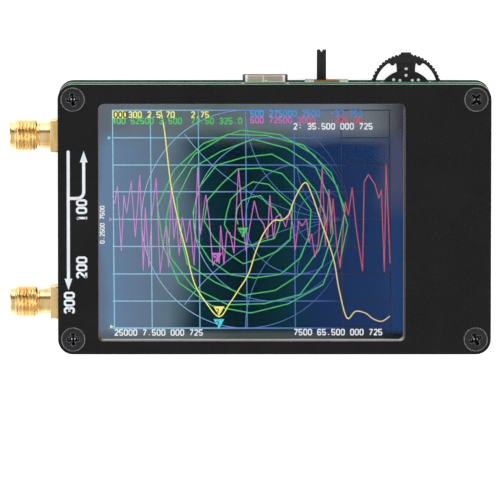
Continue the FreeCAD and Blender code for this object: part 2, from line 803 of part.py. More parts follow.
def make_jog_wheel(wheel_low, thick, spoke_low, spoke_thick, place_x, place_y):
    """Knurled rim sector, crescent, spoke and hub, moulded in one piece."""
    wheel = new_body("jog_wheel")
    rim_out, rim_in = S.wheel_radius, S.wheel_radius - S.rim_thick
    ring = new_sketch(wheel)
    draw_circle(ring, 0, 0, rim_out)
    draw_circle(ring, 0, 0, rim_in)
    pad(wheel, ring, thick)
    lower = new_sketch(wheel)
    reach = rim_out * CUT_REACH
    draw_outline(lower, [(-reach, -reach), (reach, -reach), (reach, -S.rim_drop), (-reach, -S.rim_drop)])
    cut(wheel, lower, up=True)
    crescent = new_sketch(wheel)
    draw_segment(crescent, rim_in + S.rim_thick / 2, S.crescent_line)
    pad(wheel, crescent, thick)
    tooth = new_sketch(wheel)
    half_gap = rim_out * (math.sin(math.pi / TOOTH_COUNT) * TOOTH_SHARE)
    mouth = rim_out + S.tooth_depth / 2
    draw_outline(tooth, [(0, rim_out - S.tooth_depth), (half_gap, mouth), (-half_gap, mouth)])
    first_cut = cut(wheel, tooth, up=True)
    round_the_rim = wheel.newObject("PartDesign::PolarPattern", "jog_teeth")
    round_the_rim.Originals = [first_cut]
    round_the_rim.Axis = (tooth, ["N_Axis"])
    round_the_rim.Angle = 360
    round_the_rim.Occurrences = TOOTH_COUNT
    wheel.Tip = round_the_rim
    lobes = new_sketch(wheel)
    for side in (-1, 1):
        draw_circle(lobes, S.lobe_x * side, S.crescent_line + S.lobe_radius * LOBE_LIFT, S.lobe_radius)
    pad(wheel, lobes, thick)
    cap = new_sketch(wheel)
    half_cap = S.cap_width / 2
    draw_box(cap, -half_cap, rim_out - S.rim_thick, half_cap, rim_out + S.cap_height)
    pad(wheel, cap, thick)
    spoke = new_sketch(wheel, level=spoke_low)
    draw_outline(spoke, [(-S.spoke_foot, 0), (S.spoke_foot, 0), (S.spoke_top, S.crescent_line + S.rim_thick),
                         (-S.spoke_top, S.crescent_line + S.rim_thick)])
    pad(wheel, spoke, spoke_thick)
    hub = new_sketch(wheel, level=spoke_low)
    draw_circle(hub, 0, 0, S.hub_radius)
    pad(wheel, hub, spoke_thick)
    lug = new_sketch(wheel, level=spoke_low)
    draw_circle(lug, 0, -S.hub_radius + S.stud_radius, S.stud_radius)
    pad(wheel, lug, S.jog_gap * 3, down=True)
    bore = new_sketch(wheel)
    draw_circle(bore, 0, 0, S.pivot_radius + S.pivot_clear)
    cut(wheel, bore, up=True)
    keep(wheel, "jog_wheel", (place_x, place_y, wheel_low))


def draw_segment(sketch, radius, line):
    """Draw the part of a disc that lies above a level line."""
    r, y = radius.number, line.number
    half = math.sqrt(r * r - y * y)
    turn = math.asin(y / r)
    circle = Part.Circle(Vector(0, 0, 0), Vector(0, 0, 1), r)
    arc = sketch.addGeometry(Part.ArcOfCircle(circle, turn, math.pi - turn), False)
    chord = sketch.addGeometry(Part.LineSegment(Vector(-half, y, 0), Vector(half, y, 0)), False)
    sketch.addConstraint(Sketcher.Constraint("Coincident", arc, 3, -1, 1))
    sketch.addConstraint(Sketcher.Constraint("Coincident", arc, 2, chord, 1))
    sketch.addConstraint(Sketcher.Constraint("Coincident", chord, 2, arc, 1))
    sketch.addConstraint(Sketcher.Constraint("Horizontal", chord))
    drive(sketch, "Radius", (arc,), radius)
    drive(sketch, "DistanceY", (-1, 1, chord, 1), line)


def make_jog():
    """Jog unit: base, cover with studs, sliding carriage with its pin and springs, and the wheel."""
    x, y = S.jog_x, EDGE_Y - S.jog_inset
    gap = S.jog_gap
    base_low = REAR_TOP + gap
    floor_top = base_low + S.jog_floor
    carriage_low = floor_top + gap / 2
    carriage_top = carriage_low + S.carriage_thick
    wheel_low = floor_top + gap * 2
    wheel_thick = REAR_GAP - gap * 4 - S.jog_floor - S.cover_thick - S.wheel_clear
    wheel_top = wheel_low + wheel_thick
    cover_low = wheel_top + gap
    half = S.jog_half_width
    inner_back = S.jog_back - S.jog_block

    floor = block("jog_floor_block", x - half, y - S.jog_back, base_low, half * 2,
                  S.jog_back + S.rim_drop, S.jog_floor)
    rear = block("jog_rear_block", x - half, y - S.jog_back, base_low, half * 2, S.jog_block,
                 BOARD_LOW - base_low)
    sides = []
    rails = []
    for side in (-1, 1):
        wall_left = x + (half - S.jog_wall / 2) * side - S.jog_wall / 2
        sides.append(block("jog_side_wall", wall_left, y - S.jog_back, base_low, S.jog_wall,
                           S.jog_back + S.rim_drop, cover_low - base_low))
        rail_x = x + (S.carriage_half + gap / 2 + S.jog_wall / 4) * side - S.jog_wall / 4
        rails.append(block("jog_rail", rail_x, y - inner_back, base_low, S.jog_wall / 2,
                           inner_back + S.rim_drop, carriage_top - base_low))
    keep(joined("jog_base_fuse", [floor, rear, *sides, *rails]), "jog_base")

    cover = new_body("jog_cover")
    top = new_sketch(cover)
    draw_flat_arc(top, S.cover_half_chord, S.rim_drop, S.cover_top)
    pad(cover, top, S.cover_thick)
    skirt = new_sketch(cover)
    draw_box(skirt, -half, gap - inner_back, half, S.rim_drop)
    pad(cover, skirt, S.cover_thick)
    keep(cover, "jog_cover", (x, y, cover_low))

    studs = []
    for across, up in STUD_SPOTS:
        studs.append(rod("jog_stud", x + S.cover_half_chord * across, y + S.cover_top * up,
                         cover_low + S.cover_thick, S.stud_radius, S.stud_proud))
    keep(gathered("jog_stud_group", studs), "jog_studs")

    spoke_low = carriage_top + S.hub_clear - wheel_low
    spoke_thick = wheel_thick - spoke_low - gap
    make_jog_wheel(wheel_low, wheel_thick, spoke_low, spoke_thick, x, y)

    wiper_low = wheel_low + spoke_low + spoke_thick
    keep(block("wiper_block", x - S.stud_radius, y + S.cover_top + gap, wiper_low, S.stud_radius * 2,
               S.stud_radius * 2, S.stud_proud), "jog_wiper")

    carriage = block("carriage_plate", x - S.carriage_half, y - S.carriage_half, carriage_low,
                     S.carriage_half * 2, S.carriage_half + S.rim_drop, S.carriage_thick)
    keep(carriage, "jog_carriage")
    keep(rod("pivot_rod", x, y, carriage_top, S.pivot_radius, wheel_top - carriage_top), "jog_pivot_pin")

    dome_front = -S.carriage_half - S.press_travel - gap / 2
    dome = new_body("jog_dome")
    bowed = new_sketch(dome)
    deep = S.jog_gap * 2
    wide = S.hub_radius
    back_face = -inner_back
    draw_outline(bowed, [(-wide, back_face), (-wide / 2, dome_front - deep), (wide / 2, dome_front - deep),
                         (wide, back_face), (wide, back_face + deep), (wide / 2, dome_front),
                         (-wide / 2, dome_front), (-wide, back_face + deep)])
    pad(dome, bowed, wheel_thick)
    keep(dome, "jog_dome", (x, y, wheel_low))

    make_return_spring(x, y, carriage_top)

    legs = []
    for i in range(-2, 3):
        legs.append(block("jog_leg", x + S.hub_radius * LEG_SPREAD * i - gap * 2, y - S.jog_back - S.jog_wall,
                          BOARD_LOW - gap * 2, gap * 4, S.jog_wall, gap * 2))
    keep(gathered("jog_legs", legs), "jog_terminals")


def draw_flat_arc(sketch, half_chord, chord_y, top_y):
    """Draw the flat-topped lobe between a chord and an arc through the chord's ends and its crown."""
    half, low, high = half_chord.number, chord_y.number, top_y.number
    rise = high - low
    radius = (half * half + rise * rise) / (2 * rise)
    centre_y = high - radius
    turn = math.atan2(low - centre_y, half)
    circle = Part.Circle(Vector(0, centre_y, 0), Vector(0, 0, 1), radius)
    arc = sketch.addGeometry(Part.ArcOfCircle(circle, turn, math.pi - turn), False)
    chord = sketch.addGeometry(Part.LineSegment(Vector(-half, low, 0), Vector(half, low, 0)), False)
    crown = sketch.addGeometry(Part.Point(Vector(0, high, 0)), True)
    sketch.addConstraint(Sketcher.Constraint("Coincident", arc, 2, chord, 1))
    sketch.addConstraint(Sketcher.Constraint("Coincident", chord, 2, arc, 1))
    sketch.addConstraint(Sketcher.Constraint("PointOnObject", crown, 1, arc))
    pin_point(sketch, crown, 1, 0, top_y)
    pin_point(sketch, chord, 1, -half_chord, chord_y)
    pin_point(sketch, chord, 2, half_chord, chord_y)


def make_return_spring(x, y, low):
    """Hairpin wire round the pivot pin, whose legs stand either side of the wheel's lug."""
    wire = S.jog_gap.number
    ring = S.pivot_radius.number + S.jog_gap.number * 2
    leg_x = ring
    leg_end = -S.carriage_half.number + S.jog_gap.number
    centre = low.number + wire
    start, end = Vector(-leg_x, leg_end, centre), Vector(leg_x, leg_end, centre)
    left, right = Vector(-leg_x, 0, centre), Vector(leg_x, 0, centre)
    path = Part.Wire([Part.LineSegment(start, left).toShape(),
                      Part.Arc(left, Vector(0, ring, centre), right).toShape(),
                      Part.LineSegment(right, end).toShape()])
    profile = Part.Wire([Part.Circle(start, Vector(0, 1, 0), wire).toShape()])
    spring = doc.addObject("Part::Feature", "return_spring")
    spring.Shape = path.makePipeShell([profile], True, False)
    spring.Placement = Placement(Vector(x.number, y.number, 0), Rotation())
    keep(spring, "jog_return_spring")


def rounded_path(points):
    """Join straight runs with tangent arcs, and return the path with the arcs' radii."""
    edges, radii = [], []
    here = points[0]
    for before, corner, after in zip(points, points[1:], points[2:]):
        arrive = (corner - before).normalize()
        leave = (after - corner).normalize()
        half_turn = arrive.getAngle(leave) / 2
        setback = ARC_SHARE * min((corner - before).Length, (after - corner).Length)
        radius = setback / math.tan(half_turn)
        first, last = corner - arrive * setback, corner + leave * setback
        to_centre = (leave - arrive).normalize() * (radius / math.cos(half_turn))
        crown = corner + to_centre - Vector(to_centre).normalize() * radius
        edges.append(Part.LineSegment(here, first).toShape())
        edges.append(Part.Arc(first, crown, last).toShape())
        radii.append(radius)
        here = last
    edges.append(Part.LineSegment(here, points[-1]).toShape())
    return Part.Wire(edges), radii


def make_lead(label, points):
    """Insulated battery lead, a round tube along its route."""
    path, radii = rounded_path(points)
    radius = S.lead_radius.number
    profile = Part.Wire([Part.Circle(points[0], points[1] - points[0], radius).toShape()])
    lead = doc.addObject("Part::Feature", label)
    lead.Shape = path.makePipeShell([profile], True, False)
    keep(lead, label)
    expected = math.pi * radius * radius * path.Length
    print(label, "arc radii", [round(r, 2) for r in radii], "volume share",
          round(lead.Shape.Volume / expected, 4))


def make_battery():
    """Flat battery on adhesive film, with its circuit strip, leads, plug and socket."""
    left, low = S.cell_left - EDGE_X, S.cell_under - EDGE_Y
    width = S.panel_width - S.cell_left - S.cell_right
    height = S.panel_height - S.cell_over - S.cell_under
    depth = REAR_GAP - S.tape_thick - S.cell_clear
    cell_low = REAR_TOP + S.tape_thick
    cell = new_body("battery_cell")
    outline = new_sketch(cell)
    draw_rounded_box(outline, as_size(0), as_size(0), width, height, S.cell_corner)
    pad(cell, outline, depth)
    keep(cell, "battery_cell", (left, low, cell_low))
    margin = S.cell_corner * 4
    keep(block("film_block", left + margin, low + margin, REAR_TOP, width - margin * 2,
               height - margin * 2, S.tape_thick), "battery_tape")
    keep(block("strip_block", left + width, low + margin, cell_low + depth / 4, S.strip_depth,
               height - margin * 2, depth / 2), "battery_circuit")

    strip_right = left + width + S.strip_depth
    plug_x = strip_right + S.plug_offset
    plug_back = low + height - margin - S.lead_inset - S.lead_spacing - S.lead_bend - S.lead_run
    plug_low = BOARD_LOW - S.plug_height - S.film_clear * 2
    keep(block("plug_block", plug_x - S.plug_width / 2, plug_back - S.plug_length, plug_low, S.plug_width,
               S.plug_length, S.plug_height), "battery_plug")
    socket_wall = S.lead_radius
    gap = S.film_clear
    outer = block("socket_outer", plug_x - S.plug_width / 2 - socket_wall - gap,
                  plug_back - S.plug_length - socket_wall - gap, plug_low - gap * 2,
                  S.plug_width + socket_wall * 2 + gap * 2, S.plug_length, BOARD_LOW - plug_low + gap * 2)
    hollow = block("socket_hollow", plug_x - S.plug_width / 2 - gap, plug_back - S.plug_length - gap,
                   plug_low - gap * 2, S.plug_width + gap * 2, S.plug_length + gap,
                   S.plug_height + gap * 3)
    keep(minus("socket_cut", outer, hollow), "battery_socket")

    lead_z = (plug_low + S.plug_height / 2).number
    start_x, end_y, bend = strip_right.number, plug_back.number, S.lead_bend.number
    for label, side in (("battery_lead_black", -1), ("battery_lead_red", 1)):
        outward = (side + 1) * S.lead_spacing.number / 2
        shift = outward * math.tan(math.pi / 8)
        end_x = plug_x.number + side * S.lead_spacing.number / 2
        top_y = end_y + S.lead_run.number + bend + outward
        make_lead(label, [Vector(start_x, top_y, lead_z), Vector(end_x - outward - bend + shift, top_y, lead_z),
                          Vector(end_x, top_y - outward - bend + shift, lead_z), Vector(end_x, end_y, lead_z)])


def under_board(name, x, y, width, length, height):
    """Make a block that hangs from the rear of the main board."""
    return block(name, x, y, BOARD_LOW - height, width, length, height)


def make_screen_can():
    """Screening can over the radio stage: a fence and a lid."""
    left = S.leg_length + S.solder_clear + S.shield_wall - EDGE_X
    back = (PORT_YS[0] + PORT_YS[1]) / 2 - S.shield_height / 2
    low = BOARD_LOW - S.shield_depth
    wall = S.shield_wall
    fence = block("fence_outer", left, back, low + wall, S.shield_width, S.shield_height, S.shield_depth - wall)
    inside = block("fence_inner", left + wall, back + wall, low + wall, S.shield_width - wall * 2,
                   S.shield_height - wall * 2, S.shield_depth - wall)
    keep(minus("fence_cut", fence, inside), "shield_frame")
    keep(block("lid_block", left, back, low, S.shield_width, S.shield_height, wall), "shield_lid")


def make_processor(x, y):
    """Processor with gull-wing legs on its four sides."""
    side = S.chip_side
    keep(under_board("processor_block", x, y, side, side, S.chip_height), "processor_chip")
    legs = []
    step = side / (LEGS_PER_SIDE + 1)
    for i in range(1, LEGS_PER_SIDE + 1):
        along = step * i - step / 4
        for across in (-S.leg_side, side):
            legs.append(under_board("chip_leg", x + across, y + along, S.leg_side, step / 2, S.clip_thick))
            legs.append(under_board("chip_leg", x + along, y + across, step / 2, S.leg_side, S.clip_thick))
    keep(gathered("processor_leg_group", legs), "processor_legs")


def make_electronics():
    """Chips, crystal, coil, small parts and lamps on the main board."""
    make_screen_can()
    x, y = EDGE_X - S.chip_right, S.chip_rise
    make_processor(x, y)
    keep(under_board("codec_block", x, y - S.codec_drop, S.codec_side, S.codec_side, S.codec_height),
         "codec_chip")
    keep(under_board("clock_block", x + S.clock_shift, y - S.codec_drop, S.clock_width, S.clock_length,
                     S.clock_height), "clock_chip")
    mixers = []
    for i in range(MIXER_COUNT):
        mixers.append(under_board("mixer_block", x + S.mixer_pitch * i - S.leg_side, y - S.mixer_drop,
                                  S.mixer_width, S.mixer_length, S.mixer_height))
    keep(gathered("mixer_group", mixers), "mixer_chips")
    keep(under_board("crystal_block", x + S.crystal_shift, y + S.leg_side, S.crystal_width, S.crystal_length,
                     S.crystal_height), "crystal")
    keep(under_board("charger_block", S.usb_x - S.charger_shift, EDGE_Y - S.charger_inset, S.charger_width,
                     S.charger_length, S.charger_height), "charger_chip")

    coil = new_body("inductor")
    outline = new_sketch(coil)
    half = S.coil_side / 2
    draw_rounded_box(outline, -half, -half, half, half, S.cell_corner)
    pad(coil, outline, S.coil_height)
    keep(coil, "inductor", (S.usb_x - S.coil_shift, EDGE_Y - S.coil_inset, BOARD_LOW - S.coil_height))

    spots = []
    for row in range(2):
        for i in range(SMALL_PER_ROW):
            spots.append((x + S.small_pitch * i - S.leg_side, y - S.small_drop - S.small_row_gap * row))
    for i in range(SMALL_BY_SOCKET):
        spots.append((S.cell_left - EDGE_X + S.small_pitch * i, EDGE_Y - S.small_inset))
    small = [under_board("small_part", *spot, S.small_width, S.small_length, S.small_height) for spot in spots]
    keep(gathered("small_parts", small), "passives")
    lamps = []
    for i in range(2):
        lamps.append(block("lamp", EDGE_X - S.lamp_right + S.lamp_pitch * i, EDGE_Y - S.lamp_inset, BOARD_TOP,
                           S.small_width, S.small_length, S.small_height))
    keep(gathered("lamps", lamps), "status_leds")


def check_document():
    """Stop if any object failed, or if a sub-part has no sound shape."""
    bad = [o.Name for o in doc.Objects if "Invalid" in o.State or "Error" in o.State]
    for label, obj in nodes.items():
        if obj.Shape.isNull() or not obj.Shape.isValid() or not obj.Shape.Solids:
            bad.append(label)
    if bad:
        raise RuntimeError("failed objects: " + ", ".join(bad))


def main():
    """Build every sub-part, check the document and write one file for each node."""
    make_front_panel()
    make_rear_panel()
    make_main_board()
    make_screws()
    make_pillars()
    make_display()
    for number, y in enumerate(PORT_YS, start=1):
        make_port(number, y)
    make_usb()
    make_switch()
    make_jog()
    make_battery()
    make_electronics()
    doc.recompute()
    check_document()
    os.makedirs("parts", exist_ok=True)
    for label, obj in nodes.items():
        obj.Shape.exportStep(f"parts/{label}.step")
        print(label, "solids", len(obj.Shape.Solids), "volume", round(obj.Shape.Volume, 3))
    print(len(nodes), "nodes written")


main()
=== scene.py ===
# %% [markdown]
# # An antenna analyzer, from its frame to its finish
#
# The real object is a sandwich the size of a playing card. Two matt black panels hold a green circuit
# board and a display between them, on brass pillars. Two gold jacks stand out on the left, and a charging
# socket, a slide switch and a thumb wheel look out of the upper edge.
#
# Its measured parts come in ready made as the frame. The lesson leaves them where they are and gives each
# one its finish. A part gets a piece of its own only where the frame shows less than the real one, such as
# the jacks' threads.

# %% Load the frame
import json
import math
import random

import bmesh
import bpy
from mathutils import Matrix, Vector


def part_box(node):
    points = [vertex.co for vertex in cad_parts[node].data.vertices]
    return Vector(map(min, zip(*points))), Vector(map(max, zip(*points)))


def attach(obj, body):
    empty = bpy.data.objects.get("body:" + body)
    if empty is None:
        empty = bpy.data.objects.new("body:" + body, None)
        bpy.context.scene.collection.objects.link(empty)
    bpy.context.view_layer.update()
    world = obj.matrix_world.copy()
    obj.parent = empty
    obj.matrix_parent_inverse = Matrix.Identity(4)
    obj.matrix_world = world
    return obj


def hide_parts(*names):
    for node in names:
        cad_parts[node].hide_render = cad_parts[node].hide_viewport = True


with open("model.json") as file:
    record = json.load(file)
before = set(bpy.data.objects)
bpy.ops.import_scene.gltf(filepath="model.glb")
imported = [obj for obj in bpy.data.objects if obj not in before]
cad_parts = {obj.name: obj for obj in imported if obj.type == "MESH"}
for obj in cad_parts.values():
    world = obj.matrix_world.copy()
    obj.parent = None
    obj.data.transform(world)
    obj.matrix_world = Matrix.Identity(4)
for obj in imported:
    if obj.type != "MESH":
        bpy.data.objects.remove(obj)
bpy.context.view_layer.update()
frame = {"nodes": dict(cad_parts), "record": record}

nodes = frame["nodes"]
print("parts in the frame:", len(nodes))

# %% [markdown]
# ## The camera
#
# A small product is photographed through a long lens from well above, so its edges stay parallel. This one
# leans a few degrees over the upper edge, which is why the sockets and the wheel show beneath the panel's
# rim. The lens length follows from how wide the picture is at the panel.

# %% Place the camera
MM = 0.001
PICTURE = 500
PIXELS_PER_MM = 5.07
CAMERA_LEAN = math.radians(5.7)
CAMERA_DISTANCE = 1.5
PANEL_TOP = 11.4
AIM = Vector((-4.83, -6.0, PANEL_TOP)) * MM

scene = bpy.context.scene
lens = bpy.data.cameras.new("long_lens")
lens.sensor_width = 36
lens.lens = lens.sensor_width * CAMERA_DISTANCE / (PICTURE / PIXELS_PER_MM * MM)
lens.clip_start = 0.01
camera = bpy.data.objects.new("camera", lens)
scene.collection.objects.link(camera)
camera.location = AIM + CAMERA_DISTANCE * Vector((0, math.sin(CAMERA_LEAN), math.cos(CAMERA_LEAN)))
camera.rotation_euler = (-CAMERA_LEAN, 0, 0)
scene.camera = camera
print("lens in mm:", round(lens.lens))

# %% [markdown]
# ## Mixing a finish
#
# Every finish in this lesson is a few nodes: noise or waves at the real scale, a ramp that turns them into
# colours, a range that turns them into roughness, and a bump. One small class adds such nodes, and a
# second keeps one finish together, so that each recipe below reads as a short list. Positions are the
# object's own, in metres, so grain keeps its real size. Colours are written as paint charts give them, 0
# to 255 for each part.

# %% Nodes for finishes and for the sky
def light_values(red, green, blue):
    """A paint chart's colour in the light values that a shader takes."""
    parts = [part / 255 for part in (red, green, blue)]
    return (*(p / 12.92 if p <= 0.04045 else ((p + 0.055) / 1.055) ** 2.4 for p in parts), 1)


class Mixer:
    """Adds nodes to a tree. An input takes a number, a colour or another node's output."""

    def __init__(self, tree):
        self.tree = tree

    def put(self, socket, value):
        if isinstance(value, bpy.types.NodeSocket):
            self.tree.links.new(value, socket)
        else:
            socket.default_value = light_values(*value) if socket.type == "RGBA" else value

    def add(self, kind, values, **settings):
        node = self.tree.nodes.new("ShaderNode" + kind)
        for name, value in settings.items():
            setattr(node, name, value)
        for name, value in values.items():
            self.put(node.inputs[name], value)
        return node

    def parts(self, vector):
        return self.add("SeparateXYZ", {"Vector": vector}).outputs

    def between(self, amount, low, high, start=0.0, end=1.0):
        """Amount, taken from start to end, spread from low to high."""
        values = {"Value": amount, "From Min": start, "From Max": end, "To Min": low, "To Max": high}
        return self.add("MapRange", values).outputs["Result"]

    def rise(self, amount, start, end):
        """0 up to start, 1 past end."""
        return self.between(amount, 0, 1, start, end)

    def fall(self, amount, start, end):
        """1 up to start, 0 past end."""
        return self.between(amount, 1, 0, start, end)

    def maths(self, operation, *values):
        return self.add("Math", dict(enumerate(values)), operation=operation).outputs[0]

    def both(self, first, second):
        return self.maths("MULTIPLY", first, second)

    def colours(self, amount, *stops):
        """Amount as a colour; each stop has its place and then its red, green and blue."""
        ramp = self.add("ValToRGB", {"Fac": amount})
        points = ramp.color_ramp.elements
        while len(points) < len(stops):
            points.new(0.5)
        for point, (place, *shade) in zip(points, stops):
            point.position, point.color = place, light_values(*shade)
        return ramp.outputs["Color"]


# %% A recipe holds one finish
finishes = {}


class Recipe(Mixer):
    """The nodes of one finish."""

    def __init__(self, slot, **sockets):
        self.material = finishes[slot] = bpy.data.materials.new(slot + "_finish")
        self.material.use_nodes = True
        super().__init__(self.material.node_tree)
        self.shader = self.tree.nodes["Principled BSDF"]
        self.set(**sockets)

    def set(self, **sockets):
        for name, value in sockets.items():
            self.put(self.shader.inputs[name.replace("_", " ")], value)

    def coat(self, shade, gloss, normal, **sockets):
        """Set colour, roughness and bump together."""
        self.set(Base_Color=shade, Roughness=gloss, Normal=normal, **sockets)

    def places(self, stretch=(1, 1, 1)):
        """Places on the object; a stretch of 0.1 draws grain out ten times along that direction."""
        spots = self.add("TexCoord", {}).outputs["Object"]
        return self.add("Mapping", {"Vector": spots, "Scale": stretch}).outputs["Vector"]

    def along(self, axis):
        return self.parts(self.places())[axis]

    def facing(self, axis):
        """How far the surface faces along an axis, either way, in the object's own directions."""
        return self.maths("ABSOLUTE", self.parts(self.add("TexCoord", {}).outputs["Normal"])[axis])

    def grain(self, size, stretch=(1, 1, 1), detail=3.0):
        """Noise whose grains are about size mm across."""
        values = {"Vector": self.places(stretch), "Scale": 1 / (size * MM), "Detail": detail}
        return self.add("TexNoise", values).outputs["Fac"]

    def cells(self, size, feature="F1"):
        """Distance to the middle or, with DISTANCE_TO_EDGE, to the edge of cells about size mm across."""
        values = {"Vector": self.places(), "Scale": 1 / (size * MM)}
        return self.add("TexVoronoi", values, feature=feature).outputs["Distance"]

    def stripes(self, pitch, direction="X", wobble=0.0):
        """Soft stripes pitch mm apart."""
        values = {"Vector": self.places(), "Scale": math.tau / 20 / (pitch * MM), "Distortion": wobble}
        return self.add("TexWave", values, bands_direction=direction).outputs["Fac"]

    def drift(self, size, dark, light, stretch=(1, 1, 1)):
        """A colour that drifts from dark to light in clouds about size mm across."""
        return self.colours(self.grain(size, stretch), (0.3, *dark), (0.7, *light))

    def blend(self, amount, first, second):
        mix = self.add("Mix", {0: amount}, data_type="RGBA")
        self.put(mix.inputs[6], first)
        self.put(mix.inputs[7], second)
        return mix.outputs[2]

    def bump(self, height, depth, under=None):
        """A bump depth mm high; under is the bump that it lies on."""
        values = {"Height": height, "Distance": depth * MM}
        if under is not None:
            values["Normal"] = under
        return self.add("Bump", values).outputs["Normal"]


# %% [markdown]
# Most small parts have a plain mottled finish: moulded plastic, plated or rolled metal, ceramic. One
# function makes them all. A coarse noise drifts between two colours, a finer one varies the gloss, and the
# same fine noise gives a bump of a few thousandths of a millimetre. Drawing the noise out along one
# direction makes brushed metal.

# %% One function for mottled finishes
def mottled(slot, dark, light, grain, rough, bump, stretch=(1, 1, 1), **sockets):
    recipe = Recipe(slot, **sockets)
    fine = recipe.grain(grain, stretch)
    recipe.coat(recipe.drift(grain * 5, dark, light, stretch), recipe.between(fine, *rough, 0.3, 0.7),
                recipe.bump(fine, bump))
    return recipe

# %% [markdown]
# ## Boards and panels
#
# All three boards are glass fibre laminate under a coat of resist. On the panels the resist is matt black,
# faintly clouded and dusted with specks; on the faces in the gap between the panels it is painted nearly
# black and duller, a painted shade. Their sawn edges show layers of fibre, painted nearly black, a painted
# shade, except for a pale line along the upper rim of the front one's edge. The main board's resist is
# glossy green over copper tracks, and its outermost rim along the upper and lower edges is painted a
# brighter green, a painted light where the panel above shades it. The resist has run over the upper half
# of the board's edge, and the lower half is bare and pale. The edge is told from the faces by how far the
# surface faces up or down.

# %% Black panels and the green board
def laminate_edge(recipe, core, fibre):
    """Colour of a sawn edge: thin layers of fibre across the thickness, broken up by long streaks."""
    layers = recipe.stripes(0.19, "Z", wobble=0.6)
    streaks = recipe.grain(0.25, stretch=(0.25, 0.25, 1), detail=2)
    return recipe.colours(recipe.both(layers, streaks), (0.1, *core), (0.55, *fibre))


PALE_RIM_FROM, PALE_RIM_TO = 10.6 * MM, 10.8 * MM
GAP_LOW, GAP_HIGH = (0.3 * MM, 0.5 * MM), (9 * MM, 9.1 * MM)
panel = Recipe("panel_mask")
dust = panel.rise(panel.grain(0.16, detail=1), 0.66, 0.74)
resist = panel.blend(dust, panel.drift(7, (12, 12, 12), (18, 18, 18)), (50, 50, 52))
flat = panel.rise(panel.facing("Z"), 0.5, 0.8)
level = panel.along("Z")
# Sawn edge: pale along the upper rim of the front panel's edge, and below it painted nearly black, a painted
# shade.
sawn = panel.blend(panel.rise(level, PALE_RIM_FROM, PALE_RIM_TO),
                   laminate_edge(panel, (6, 6, 7), (22, 21, 20)),
                   laminate_edge(panel, (196, 186, 176), (246, 238, 230)))
# Painted shade: faces in the gap between the panels are painted nearly black and less glossy.
painted_gap_shade = panel.both(panel.rise(level, *GAP_LOW), panel.fall(level, *GAP_HIGH))
shade = panel.maths("MAXIMUM", painted_gap_shade, panel.fall(flat, 0, 1))
panel.coat(panel.blend(flat, sawn, panel.blend(painted_gap_shade, resist, (5, 5, 6))),
           panel.between(panel.grain(0.4), 0.56, 0.62, 0.3, 0.7), panel.bump(panel.grain(0.2), 0.003),
           Specular_IOR_Level=panel.between(shade, 0.18, 0.04))

BOARD_RIM = 26.3 * MM, 26.34 * MM
BARE_BELOW = 5.72 * MM, 5.78 * MM
green = Recipe("board_green")
turned_patch = green.rise(green.grain(7, detail=0), 0.49, 0.51)
tracks = green.blend(turned_patch, green.stripes(0.85, "X"), green.stripes(0.85, "Y"))
tracks = green.both(green.rise(tracks, 0.5, 0.62), green.rise(green.grain(4, detail=0), 0.44, 0.46))
resist = green.blend(tracks, (4, 66, 34), (12, 104, 56))
resist = green.blend(green.fall(green.cells(2.6), 0.09, 0.11), resist, (176, 178, 168))
# Painted light: the outermost rim along the upper and lower edges is painted a brighter green, since the
# panel above shades it.
rim = green.rise(green.maths("ABSOLUTE", green.along("Y")), *BOARD_RIM)
core = green.blend(green.fall(green.along("Z"), *BARE_BELOW),
                   laminate_edge(green, (4, 104, 66), (16, 140, 92)),
                   laminate_edge(green, (206, 200, 180), (246, 238, 226)))
flat = green.rise(green.facing("Z"), 0.5, 0.8)
green.coat(green.blend(flat, core, green.blend(rim, resist, (0, 166, 120))),
           green.between(green.grain(0.8), 0.24, 0.4, 0.3, 0.7),
           green.bump(tracks, 0.02, green.bump(green.grain(0.3), 0.002)),
           Specular_IOR_Level=green.between(rim, 0.5, 0.15))

# %% [markdown]
# ## Metals
#
# The jacks are gilt brass turned on a lathe, so their faint tool marks run round them and the gold drifts
# a little in tone. The hexagonal pillars are drawn brass bar, streaked along its length. The charging
# socket and the switch frame are folded from rolled strip, brushed along its length. Along each fold a
# near-white band is painted, a painted highlight, and the sides past it are painted dark, a painted shade.
# All of them share the mottled recipe and differ in grain, stretch and gloss.

# %% Gold, brass, tin and rolled steel
GOLD, PALE_GOLD = (231, 188, 117), (252, 225, 168)
for slot, dark, light, *rest in (
        ("port_gold", GOLD, PALE_GOLD, 0.5, (0.2, 0.3), 0.0015, (3, 0.4, 0.4)),
        ("contact_gold", GOLD, (236, 190, 104), 0.3, (0.2, 0.34), 0.001),
        ("pillar_brass", (160, 122, 66), (206, 164, 94), 0.3, (0.24, 0.36), 0.0015, (1, 1, 0.1)),
        ("spring_steel", (150, 150, 152), (196, 196, 198), 0.2, (0.18, 0.3), 0.001),
        ("display_steel", (150, 150, 150), (188, 188, 186), 0.4, (0.3, 0.45), 0.002, (0.1, 1, 1))):
    mottled(slot, dark, light, *rest, Metallic=1.0)
mottled("tinned_metal", (206, 205, 200), (240, 239, 234), 0.3, (0.2, 0.42), 0.006, Metallic=0.6)


def own_colour(recipe):
    return recipe.shader.inputs["Base Color"].links[0].from_socket


steel = mottled("socket_steel", (194, 180, 168), (236, 222, 210), 0.18, (0.26, 0.4), 0.0015, (0.12, 2, 1),
                Metallic=0.6)
# Painted highlight: a near-white band along each fold. Painted shade: dark sides past it. Both are told by
# the surface's tilt.
tilt = steel.facing("Z")
fold_highlight_and_side_shade = steel.colours(tilt, (0.55, 84, 78, 73), (0.74, 98, 92, 86), (0.82, 250, 248, 244),
                      (0.92, 250, 248, 244), (0.96, 198, 184, 174))
steel.set(Base_Color=steel.blend(steel.rise(tilt, 0.95, 0.98), fold_highlight_and_side_shade, own_colour(steel)))

